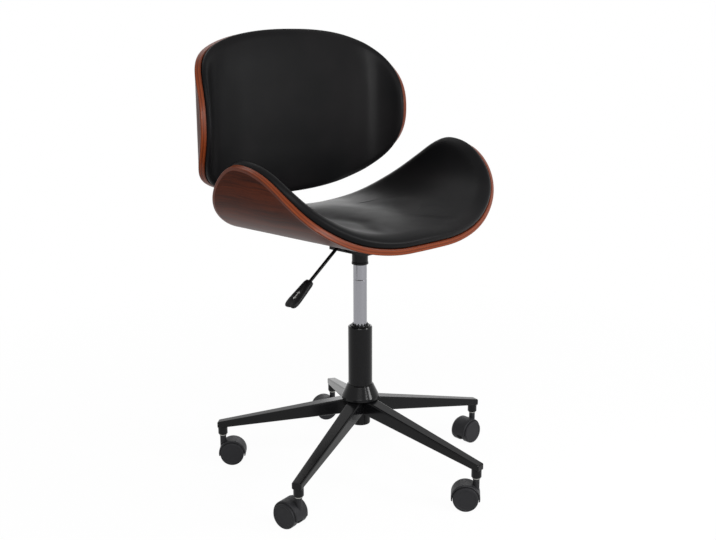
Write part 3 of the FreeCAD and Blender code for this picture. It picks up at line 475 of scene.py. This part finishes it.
def flat_slab(name, outline, rim_rings, inner_rings, crown):
    """A flat closed slab with a rounded outline. rim_rings are insets and heights from the
    lower to the upper face, and crown gives the upper face's extra height from the share out."""
    points, inward, even = flat_outline(outline, RIM_POINTS)
    quarter = RIM_POINTS // 4
    shrink = np.linspace(1, PATCH_SHARE, inner_rings + 1)[1:]
    low_inset, low_height = rim_rings[0]
    high_inset, high_height = rim_rings[-1]

    def ring(inset, scale=1.0):
        return (points + inward * inset) * scale

    def core(edge):
        """Inner points of the middle patch, whose four sides are the ring's quarters."""
        start = RIM_POINTS // 8
        pick = lambda index: edge[index % RIM_POINTS]
        rows = []
        for j in range(1, quarter):
            q = j / quarter
            for i in range(1, quarter):
                p = i / quarter
                low, high = pick(start + 2 * quarter + i), pick(start + quarter - i)
                left, right = pick(start + 2 * quarter - j), pick(start + 3 * quarter + j)
                corners = ((1 - p) * (1 - q) * pick(start + 2 * quarter)
                           + p * (1 - q) * pick(start + 3 * quarter)
                           + (1 - p) * q * pick(start + quarter) + p * q * pick(start))
                rows.append((1 - q) * low + q * high + (1 - p) * left + p * right - corners)
        return np.array(rows)

    flat_rings = [(ring(low_inset, s), low_height, False) for s in shrink[::-1]]
    flat_rings += [(ring(d), h, False) for d, h in rim_rings]
    flat_rings += [(ring(high_inset, s), high_height, True) for s in shrink]
    rows = []
    for place, height, top in flat_rings:
        lift = crown(share_out(place, outline, high_inset)) if top else 0 * place[:, 0]
        rows.append(np.column_stack([place, height + lift]))
    low_core = core(flat_rings[0][0])
    high_core = core(flat_rings[-1][0])
    rows.append(np.column_stack([low_core, np.full(len(low_core), low_height)]))
    rows.append(np.column_stack([
        high_core, high_height + crown(share_out(high_core, outline, high_inset))]))
    verts = np.concatenate(rows)

    faces = []
    rim_faces = []
    for r in range(len(flat_rings) - 1):
        a, b = r * RIM_POINTS, (r + 1) * RIM_POINTS
        for i in range(RIM_POINTS):
            k = (i + 1) % RIM_POINTS
            faces.append((a + i, a + k, b + k, b + i))
            rim_faces.append(inner_rings <= r < inner_rings + len(rim_rings) - 1)

    def patch(ring_start, core_start, flip):
        start = RIM_POINTS // 8
        on_ring = lambda index: ring_start + index % RIM_POINTS

        def vertex(i, j):
            if j == 0:
                return on_ring(start + 2 * quarter + i)
            if j == quarter:
                return on_ring(start + quarter - i)
            if i == 0:
                return on_ring(start + 2 * quarter - j)
            if i == quarter:
                return on_ring(start + 3 * quarter + j)
            return core_start + (j - 1) * (quarter - 1) + i - 1

        for j in range(quarter):
            for i in range(quarter):
                face = (vertex(i, j), vertex(i + 1, j), vertex(i + 1, j + 1), vertex(i, j + 1))
                faces.append(face[::-1] if flip else face)
                rim_faces.append(False)

    ring_total = len(flat_rings) * RIM_POINTS
    patch(0, ring_total, True)
    patch((len(flat_rings) - 1) * RIM_POINTS, ring_total + len(low_core), False)

    mesh = bpy.data.meshes.new(name)
    mesh.from_pydata(verts.tolist(), [], faces)
    mesh.attributes.new("rim", "BOOLEAN", "FACE").data.foreach_set("value", rim_faces)
    uv = mesh.uv_layers.new(name="sheet")
    perimeter = even[-1] + even[1]
    for polygon, on_rim in zip(mesh.polygons, rim_faces):
        for loop in polygon.loop_indices:
            vertex = mesh.loops[loop].vertex_index
            if on_rim:
                i = vertex % RIM_POINTS
                distance = even[i]
                if i == 0 and polygon.index % RIM_POINTS == RIM_POINTS - 1:
                    distance = perimeter
                uv.data[loop].uv = (distance, verts[vertex][2])
            else:
                uv.data[loop].uv = (verts[vertex][0], verts[vertex][1])
    mesh.shade_smooth()
    return link(name, mesh)


def bend_and_place(obj, bends, place, face, edge):
    """Bends a flat slab by its section, and puts it where the frame has it."""
    inputs = {"Face finish": finish(face), "Edge finish": finish(edge)}
    for i, (length, slope) in enumerate(bends, start=1):
        inputs[f"Length {i}"] = length
        inputs[f"Slope {i}"] = math.radians(slope)
    tree = bpy.data.node_groups.get(f"bend_{len(bends)}") or bend_tree(len(bends))
    run_tree(obj, tree, inputs)
    obj.data.transform(place)


def subdivide(obj):
    modifier = obj.modifiers.new("smooth", "SUBSURF")
    modifier.levels = 1
    modifier.render_levels = 1


def plywood_sheet(name, outline, bends, place, node_name, body):
    """A bent plywood shell with veneered faces and a sanded edge that shows its layers."""
    wood = bpy.context.scene.chair_wood
    thick, soft = wood.thickness, wood.edge_round
    rings = [(3 * soft, 0), (soft, 0), (0.3 * soft, 0.3 * soft), (0, soft), (0, 3 * soft),
             (0, thick / 2), (0, thick - 3 * soft), (0, thick - soft),
             (0.3 * soft, thick - 0.3 * soft), (soft, thick), (3 * soft, thick)]
    sheet = flat_slab(name, outline, rings, SHEET_RINGS, lambda share: 0 * share)
    bend_and_place(sheet, bends, place, "lacquered_walnut", "stained_ply_edge")
    subdivide(sheet)
    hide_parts(node_name)
    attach(sheet, body)


def upholstered_pad(name, outline, bends, place, height, node_name, body):
    """A thin foam pad under stretched leather, inflated a little by cloth simulation."""
    pads = bpy.context.scene.chair_pads
    wood = bpy.context.scene.chair_wood
    low = wood.thickness + 0.2 * MM
    inset = pads.inset
    # The rolled edge: out from under the pad, round its widest line and over in part of an
    # ellipse, up to the shoulder.
    widest, roll_reach, roll_rise = 0.3 * height, 1.3 * height, 0.55 * height
    rings = [(inset + 4 * MM, low), (inset + 1.5 * MM, low + 0.02 * height)]
    rings += [(inset - pads.overhang * part, low + widest * part) for part in (0.35, 0.75, 1.0)]
    for step in range(1, ROLL_STEPS + 1):
        turn = ROLL_TURN * step / ROLL_STEPS
        rings.append((inset - pads.overhang + roll_reach * (1 - math.cos(turn)),
                      low + widest + roll_rise * math.sin(turn)))
    rise = low + height - rings[-1][1]
    pad = flat_slab(name, outline, rings, PAD_RINGS, lambda share: rise * (1 - share ** 3))
    bend_and_place(pad, bends, place, "coated_leather", "coated_leather")
    inflate(pad, len(rings), pads.puff, pads.pressure)
    subdivide(pad)
    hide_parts(node_name)
    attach(pad, body)


def inflate(pad, rim_rings, cap, pressure):
    """Runs a short cloth simulation with pressure, with the pad's underside held still."""
    scene = bpy.context.scene
    # The underside's rings and the first three of the rolled edge.
    held_rings = PAD_RINGS + 3
    total = len(pad.data.vertices)
    ring_total = (PAD_RINGS * 2 + rim_rings) * RIM_POINTS
    core = (RIM_POINTS // 4 - 1) ** 2
    held = pad.vertex_groups.new(name="held")
    held.add(list(range(held_rings * RIM_POINTS)), 1.0, "REPLACE")
    held.add(list(range(ring_total, ring_total + core)), 1.0, "REPLACE")
    rest = np.array([v.co for v in pad.data.vertices])
    cloth = pad.modifiers.new("cloth", "CLOTH")
    settings = cloth.settings
    settings.quality = 6
    settings.mass = 0.3
    settings.tension_stiffness = 25
    settings.compression_stiffness = 25
    settings.shear_stiffness = 8
    settings.bending_stiffness = 6
    settings.vertex_group_mass = "held"
    settings.use_pressure = True
    settings.uniform_pressure_force = pressure
    settings.effector_weights.gravity = 0
    settings.shrink_min = 0.0
    cloth.point_cache.frame_start = 1
    cloth.point_cache.frame_end = CLOTH_FRAMES
    for step in range(1, CLOTH_FRAMES + 1):
        scene.frame_set(step)
    made = pad.evaluated_get(bpy.context.evaluated_depsgraph_get())
    moved = np.array([v.co for v in made.data.vertices])
    if len(moved) != total:
        raise RuntimeError(f"{pad.name}: the simulation changed the mesh")
    pad.modifiers.remove(cloth)
    scene.frame_set(1)
    shift = moved - rest
    length = np.linalg.norm(shift, axis=1)
    # A soft cap: small moves stay as they are, and large ones come close to the cap.
    scale = np.where(length > 1e-9, cap * np.tanh(length / cap) / np.maximum(length, 1e-9), 0)
    pad.data.vertices.foreach_set("co", (rest + shift * scale[:, None]).ravel())
    pad.vertex_groups.clear()
    pad.data.update()


def bolt_tree():
    """Geometry nodes that set a button-head bolt on every point of the input: a domed head
    with a hexagonal socket, and its shank behind it."""
    tree = bpy.data.node_groups.new("button_bolts", "GeometryNodeTree")
    add_sockets(tree, "INPUT", "Geometry", "Places")
    add_sockets(tree, "INPUT", "Float", "Head radius", "Head height", "Socket radius",
                "Socket depth", "Shank radius", "Shank length")
    add_sockets(tree, "INPUT", "Rotation", "Facing")
    add_sockets(tree, "INPUT", "Material", "Finish")
    add_sockets(tree, "OUTPUT", "Geometry", "Bolts")
    sizes = node(tree, "NodeGroupInput").outputs
    calc = calculator(tree)

    def moved(shape, height):
        offset = node(tree, "ShaderNodeCombineXYZ", {"Z": height})
        return node(tree, "GeometryNodeTransform", {"Geometry": shape,
                                                    "Translation": offset.outputs[0]}).outputs[0]

    # The dome is a ball whose cap has the head's radius and height.
    square = calc("MULTIPLY", sizes["Head radius"], sizes["Head radius"])
    high = calc("MULTIPLY", sizes["Head height"], sizes["Head height"])
    ball_radius = calc("DIVIDE", calc("ADD", square, high),
                       calc("MULTIPLY", sizes["Head height"], 2))
    ball = node(tree, "GeometryNodeMeshUVSphere", {"Segments": 32, "Rings": 24,
                                                   "Radius": ball_radius})
    dome = moved(ball.outputs[0], calc("SUBTRACT", sizes["Head height"], ball_radius))
    disc = node(tree, "GeometryNodeMeshCylinder", {
        "Vertices": 32, "Radius": sizes["Head radius"],
        "Depth": calc("MULTIPLY", sizes["Head height"], 4)})
    slab = moved(disc.outputs[0], calc("MULTIPLY", sizes["Head height"], 2))
    cap = node(tree, "GeometryNodeMeshBoolean", {1: dome}, operation="INTERSECT", solver="EXACT")
    tree.links.new(slab, cap.inputs[1])
    hexagon = node(tree, "GeometryNodeMeshCylinder", {
        "Vertices": 6, "Radius": sizes["Socket radius"],
        "Depth": calc("MULTIPLY", sizes["Socket depth"], 2)})
    socket = moved(hexagon.outputs[0], sizes["Head height"])
    head = node(tree, "GeometryNodeMeshBoolean", {0: cap.outputs[0], 1: socket},
                operation="DIFFERENCE", solver="EXACT")
    rod = node(tree, "GeometryNodeMeshCylinder", {"Vertices": 20, "Radius": sizes["Shank radius"],
                                                  "Depth": sizes["Shank length"]})
    shank = moved(rod.outputs[0], calc("MULTIPLY", sizes["Shank length"], -0.5))
    whole = node(tree, "GeometryNodeJoinGeometry")
    tree.links.new(head.outputs[0], whole.inputs[0])
    tree.links.new(shank, whole.inputs[0])
    points = node(tree, "GeometryNodeMeshToPoints", {0: sizes["Places"]})
    bolts = node(tree, "GeometryNodeInstanceOnPoints", {"Points": points.outputs[0],
                                                        "Instance": whole.outputs[0],
                                                        "Rotation": sizes["Facing"]})
    real = node(tree, "GeometryNodeRealizeInstances", {0: bolts.outputs[0]})
    done = node(tree, "GeometryNodeSetMaterial", {"Geometry": real.outputs[0],
                                                  "Material": sizes["Finish"]})
    node(tree, "NodeGroupOutput", {0: done.outputs[0]})
    return tree


def bolts(name, node_name, places, facing, shank):
    """Button-head bolts at places in millimetres, in the stead of a CAD node's plain ones."""
    metal = bpy.context.scene.chair_metal
    mesh = bpy.data.meshes.new(name)
    mesh.from_pydata([[c * MM for c in place] for place in places], [], [])
    obj = link(name, mesh)
    tree = bpy.data.node_groups.get("button_bolts") or bolt_tree()
    run_tree(obj, tree, {
        "Head radius": metal.bolt_head, "Head height": 3.4 * MM, "Socket radius": 2.3 * MM,
        "Socket depth": 2.0 * MM, "Shank radius": 2.9 * MM, "Shank length": shank * MM,
        "Facing": facing, "Finish": finish("satin_black_paint"),
    })
    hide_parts(node_name)
    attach(obj, "seat")


def clip_tree():
    """Geometry nodes that set a ring of tapered clips round the vertical axis."""
    tree = bpy.data.node_groups.new("ring_of_clips", "GeometryNodeTree")
    add_sockets(tree, "INPUT", "Geometry", "Start")
    add_sockets(tree, "INPUT", "Int", "Count")
    add_sockets(tree, "INPUT", "Float", "Ring radius", "Clip radius", "Clip height", "Foot height")
    add_sockets(tree, "INPUT", "Material", "Finish")
    add_sockets(tree, "OUTPUT", "Geometry", "Clips")
    sizes = node(tree, "NodeGroupInput").outputs
    ring = node(tree, "GeometryNodeMeshCircle", {"Vertices": sizes["Count"],
                                                 "Radius": sizes["Ring radius"]})
    place = node(tree, "GeometryNodeInputPosition")
    parts = node(tree, "ShaderNodeSeparateXYZ", {0: place.outputs[0]})
    calc = calculator(tree)
    turn = node(tree, "ShaderNodeCombineXYZ",
                {"Z": calc("ARCTAN2", parts.outputs["Y"], parts.outputs["X"])})
    top = calc("MULTIPLY", sizes["Clip radius"], 0.2)
    clip = node(tree, "GeometryNodeMeshCone", {"Vertices": 12, "Radius Top": top,
                                               "Radius Bottom": sizes["Clip radius"],
                                               "Depth": sizes["Clip height"]})
    points = node(tree, "GeometryNodeMeshToPoints", {0: ring.outputs[0]})
    # Each clip is thin across the gap between bush and tube, and wide round it.
    clips = node(tree, "GeometryNodeInstanceOnPoints", {"Points": points.outputs[0],
                                                        "Instance": clip.outputs[0],
                                                        "Rotation": turn.outputs[0],
                                                        "Scale": (0.4, 1.0, 1.0)})
    lift = node(tree, "ShaderNodeCombineXYZ", {"Z": sizes["Foot height"]})
    raised = node(tree, "GeometryNodeTransform", {"Geometry": clips.outputs[0],
                                                  "Translation": lift.outputs[0]})
    real = node(tree, "GeometryNodeRealizeInstances", {0: raised.outputs[0]})
    done = node(tree, "GeometryNodeSetMaterial", {"Geometry": real.outputs[0],
                                                  "Material": sizes["Finish"]})
    node(tree, "NodeGroupOutput", {0: done.outputs[0]})
    return tree


def lever_paddle():
    """The lever's moulded paddle: rounded sections, a scooped upper face and a notched end,
    with a plain up-and-down arrow printed on it."""
    metal = bpy.context.scene.chair_metal
    length, half = metal.knob_length, metal.knob_width / 2
    # Place along the paddle, and half width and half thickness as parts of the half width.
    sections = [(0, 0.40, 0.30), (0.015, 0.53, 0.39), (0.10, 0.65, 0.45), (0.25, 0.73, 0.44),
                (0.40, 0.82, 0.42), (0.58, 0.92, 0.39), (0.75, 1.0, 0.36), (0.86, 1.0, 0.33),
                (0.94, 0.93, 0.27), (0.985, 0.8, 0.19), (1.0, 0.66, 0.11)]
    count = 40
    verts = []
    for along, wide, thick in sections:
        for i in range(count):
            turn = 2 * math.pi * i / count
            c, t = math.cos(turn), math.sin(turn)
            across = math.copysign(abs(c) ** 0.75, c)
            rise = math.copysign(abs(t) ** 0.75, t)
            scoop = 0.35 * math.exp(-(across / 0.55) ** 2) * math.sin(math.pi * along) ** 2
            notch = 0.04 * math.exp(-(across / 0.3) ** 2) if along > 0.9 else 0
            verts.append(((along - notch) * length, across * wide * half,
                          rise * thick * half * (1 - scoop if t > 0 else 1)))
    faces = [(r * count + i, r * count + (i + 1) % count, (r + 1) * count + (i + 1) % count,
              (r + 1) * count + i) for r in range(len(sections) - 1) for i in range(count)]
    faces.append(tuple(reversed(range(count))))
    last = (len(sections) - 1) * count
    faces.append(tuple(range(last, last + count)))
    body_faces = len(faces)
    # The arrow: a bar with a point at each end, as a thin print along the paddle.
    mark = [(0.44, 0), (0.52, 0.26), (0.52, 0.09), (0.68, 0.09), (0.68, 0.26), (0.76, 0),
            (0.68, -0.26), (0.68, -0.09), (0.52, -0.09), (0.52, -0.26)]
    first = len(verts)
    verts += [(a * length, b * half, half * 0.305) for a, b in mark]
    faces += [tuple(first + i for i in corner) for corner in
              ((0, 9, 8, 2, 1), (2, 8, 7, 3), (3, 7, 6, 5, 4))]
    mesh = bpy.data.meshes.new("lever_paddle")
    mesh.from_pydata(verts, [], faces)
    mesh.materials.append(finish("moulded_abs"))
    mesh.materials.append(finish("white_print"))
    mesh.polygons.foreach_set("material_index",
                              [0] * body_faces + [1] * (len(faces) - body_faces))
    mesh.shade_smooth()
    paddle = link("lever_paddle", mesh)
    slope = math.radians(LEVER_SLOPE)
    along = Vector((-math.cos(slope), 0, -math.sin(slope)))
    across = Vector((0, -1, 0))
    turn = Matrix((along, across, along.cross(across))).transposed().to_4x4()
    foot = LEVER_BEND + along * metal.knob_start
    paddle.data.transform(Matrix.Translation(foot) @ turn)
    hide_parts("lever_knob")
    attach(paddle, "lever")


def paint_node(name, material):
    """Gives a CAD node a finish."""
    mesh = frame["nodes"][name].data
    mesh.materials.clear()
    mesh.materials.append(finish(material))


class CHAIR_OT_stage(Operator):
    """Camera, floor, backdrop colour and lamps"""
    bl_idname = "chair.stage"
    bl_label = "Stage"

    def execute(self, context):
        scene = context.scene
        stage = scene.chair_stage
        scene.view_settings.view_transform = "Standard"

        away = (CAMERA_AT - CAMERA_LOOKS_AT).normalized()
        right = Vector((0, 0, 1)).cross(away).normalized()
        up = away.cross(right)
        turn = Matrix((right, up, away)).transposed().to_4x4()
        roll = Matrix.Rotation(math.radians(CAMERA_ROLL), 4, "Z")
        lens = bpy.data.cameras.new("camera")
        lens.sensor_width = 36
        lens.lens = CAMERA_FOCAL_PIXELS / IMAGE_WIDTH * lens.sensor_width
        camera = link("camera", lens)
        camera.matrix_world = Matrix.Translation(CAMERA_AT) @ turn @ roll
        scene.camera = camera

        floor_material = bpy.data.materials.new("pale_floor")
        floor_material.use_nodes = True
        tree = floor_material.node_tree
        tree.nodes.clear()
        seen = self.seen_directly(tree)
        paper = node(tree, "ShaderNodeBsdfDiffuse", {"Color": stage.floor})
        white = node(tree, "ShaderNodeEmission", {"Color": rgb("#ffffff"), "Strength": 1.0})
        # The white paper is lit evenly from further off, and its shading fades away there.
        far = node(tree, "ShaderNodeVectorMath", {0: object_place(tree)}, operation="LENGTH")
        even = ranged(tree, far.outputs["Value"], 0.96, 1.0, 0.4, 1.6)
        share = node(tree, "ShaderNodeMath", {0: seen, 1: even}, operation="MULTIPLY")
        mixed = node(tree, "ShaderNodeMixShader", {0: share.outputs[0], 1: paper.outputs[0],
                                                   2: white.outputs[0]})
        node(tree, "ShaderNodeOutputMaterial", {"Surface": mixed.outputs[0]})
        mesh = bpy.data.meshes.new("floor")
        shape = bmesh.new()
        bmesh.ops.create_circle(shape, cap_ends=True, radius=30, segments=96)
        shape.to_mesh(mesh)
        shape.free()
        mesh.materials.append(floor_material)
        floor = link("floor", mesh)

        world = bpy.data.worlds.new("studio")
        scene.world = world
        world.use_nodes = True
        tree = world.node_tree
        tree.nodes.clear()
        seen = self.seen_directly(tree)
        sky = node(tree, "ShaderNodeBackground", {"Color": rgb("#ffffff"),
                                                  "Strength": ranged(tree, seen, stage.fill, 1.0)})
        node(tree, "ShaderNodeOutputWorld", {"Surface": sky.outputs[0]})

        # Name, place, size and share of the key lamp's power.
        lamps = [
            ("key", (-1.7, -1.5, 2.3), (1.4, 1.0), 1.0),
            ("overhead", (0.3, 1.4, 2.3), (1.0, 1.0), 0.15),
            ("front", (0.55, -1.2, 0.84), (0.3, 0.5), 0.25),
            ("low front", (-0.1, -2.1, 0.9), (0.3, 0.5), 0.4),
            ("behind", (1.8, 1.6, 0.9), (1.3, 0.6), 0.14),
        ]
        for name, place, (width, depth), share in lamps:
            data = bpy.data.lights.new(name, "AREA")
            data.shape = "RECTANGLE"
            data.size = width
            data.size_y = depth
            data.energy = stage.key * share
            lamp = link(name, data)
            lamp.location = place
            aim = LAMPS_LOOK_AT - Vector(place)
            lamp.rotation_euler = aim.to_track_quat("-Z", "Y").to_euler()
        return {"FINISHED"}

    @staticmethod
    def seen_directly(tree):
        """1 for rays from the camera, or that gloss and glass send on, and 0 for others."""
        path = node(tree, "ShaderNodeLightPath")
        one = node(tree, "ShaderNodeMath", {0: path.outputs["Is Camera Ray"],
                                            1: path.outputs["Is Glossy Ray"]},
                   operation="MAXIMUM")
        both = node(tree, "ShaderNodeMath", {0: one.outputs[0],
                                             1: path.outputs["Is Transmission Ray"]},
                    operation="MAXIMUM")
        return both.outputs[0]


class CHAIR_OT_shells(Operator):
    """Bent plywood shells of the seat and the back"""
    bl_idname = "chair.shells"
    bl_label = "Plywood shells"

    def execute(self, context):
        plywood_sheet("seat_plywood", SEAT_OUTLINE, SEAT_BENDS, SEAT_PLACE, "seat_shell", "seat")
        plywood_sheet("back_plywood", BACK_OUTLINE, BACK_BENDS, BACK_PLACE, "back_shell", "seat")
        return {"FINISHED"}


class CHAIR_OT_pads(Operator):
    """Leather pads of the seat and the back"""
    bl_idname = "chair.pads"
    bl_label = "Leather pads"

    def execute(self, context):
        pads = context.scene.chair_pads
        upholstered_pad("seat_leather", SEAT_OUTLINE, SEAT_BENDS, SEAT_PLACE, pads.seat_height,
                        "seat_pad", "seat")
        upholstered_pad("back_leather", BACK_OUTLINE, BACK_BENDS, BACK_PLACE, pads.back_height,
                        "back_pad", "seat")
        return {"FINISHED"}


class CHAIR_OT_metalwork(Operator):
    """Finishes of the base, casters, gas lift, plate, bracket and lever"""
    bl_idname = "chair.metalwork"
    bl_label = "Metalwork"

    def execute(self, context):
        slots = {
            "black_steel": "gloss_black_paint", "bright_steel": "zinc_steel",
            "lift_chrome": "plated_steel", "caster_nylon": "moulded_nylon",
            "black_plastic": "moulded_abs", "bolt_black": "satin_black_paint",
        }
        for item in frame["record"]["subparts"]:
            if item["material_slot"] in slots:
                paint_node(item["node"], slots[item["material_slot"]])
        return {"FINISHED"}


class CHAIR_OT_bolts(Operator):
    """Button-head bolts of the plate, the bracket and the back"""
    bl_idname = "chair.bolts"
    bl_label = "Bolts"

    def execute(self, context):
        down, rearwards = (math.pi, 0, 0), (-math.pi / 2, 0, 0)
        # The last number is the shank's length in millimetres.
        bolts("plate_screws", "plate_bolts", PLATE_BOLTS, down, 13)
        bolts("bracket_screws", "bracket_bolts", BRACKET_BOLTS, down, 19)
        bolts("back_screws", "back_bolts", BACK_BOLTS, rearwards, 32)
        return {"FINISHED"}


class CHAIR_OT_clips(Operator):
    """Ring of clips in the mouth of the gas lift's outer tube"""
    bl_idname = "chair.clips"
    bl_label = "Bush clips"

    def execute(self, context):
        metal = context.scene.chair_metal
        clips = link("bush_clips", bpy.data.meshes.new("bush_clips"))
        run_tree(clips, clip_tree(), {
            "Count": metal.teeth, "Ring radius": 15.6 * MM, "Clip radius": 3.0 * MM,
            "Clip height": 5 * MM, "Foot height": BUSH_TOP - 0.5 * MM,
            "Finish": finish("moulded_abs"),
        })
        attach(clips, "base")
        return {"FINISHED"}


class CHAIR_OT_lever(Operator):
    """Moulded paddle on the height lever"""
    bl_idname = "chair.lever"
    bl_label = "Lever paddle"

    def execute(self, context):
        lever_paddle()
        return {"FINISHED"}


class CHAIR_PT_panel(Panel):
    """Sizes, colours and pieces of the chair"""
    bl_idname = "CHAIR_PT_panel"
    bl_label = "Swivel chair"
    bl_space_type = "VIEW_3D"
    bl_region_type = "UI"
    bl_category = "Chair"

    def draw(self, context):
        for group in GROUPS:
            owner = getattr(context.scene, group)
            part = self.layout.box()
            for name in owner.__annotations__:
                part.prop(owner, name)
        for operator in OPERATORS:
            self.layout.operator(operator.bl_idname)


GROUPS = {"chair_wood": ChairWood, "chair_pads": ChairPads, "chair_metal": ChairMetal,
          "chair_stage": ChairStage}
OPERATORS = [CHAIR_OT_stage, CHAIR_OT_shells, CHAIR_OT_pads, CHAIR_OT_metalwork,
             CHAIR_OT_bolts, CHAIR_OT_clips, CHAIR_OT_lever]


def register():
    for name, group in GROUPS.items():
        bpy.utils.register_class(group)
        setattr(bpy.types.Scene, name, PointerProperty(type=group))
    for item in OPERATORS + [CHAIR_PT_panel]:
        bpy.utils.register_class(item)


def unregister():
    for item in reversed(OPERATORS + [CHAIR_PT_panel]):
        bpy.utils.unregister_class(item)
    for name, group in GROUPS.items():
        delattr(bpy.types.Scene, name)
        bpy.utils.unregister_class(group)


def main():
    register()
    for operator in OPERATORS:
        area, name = operator.bl_idname.split(".")
        getattr(getattr(bpy.ops, area), name)()


if __name__ == "__main__":
    main()
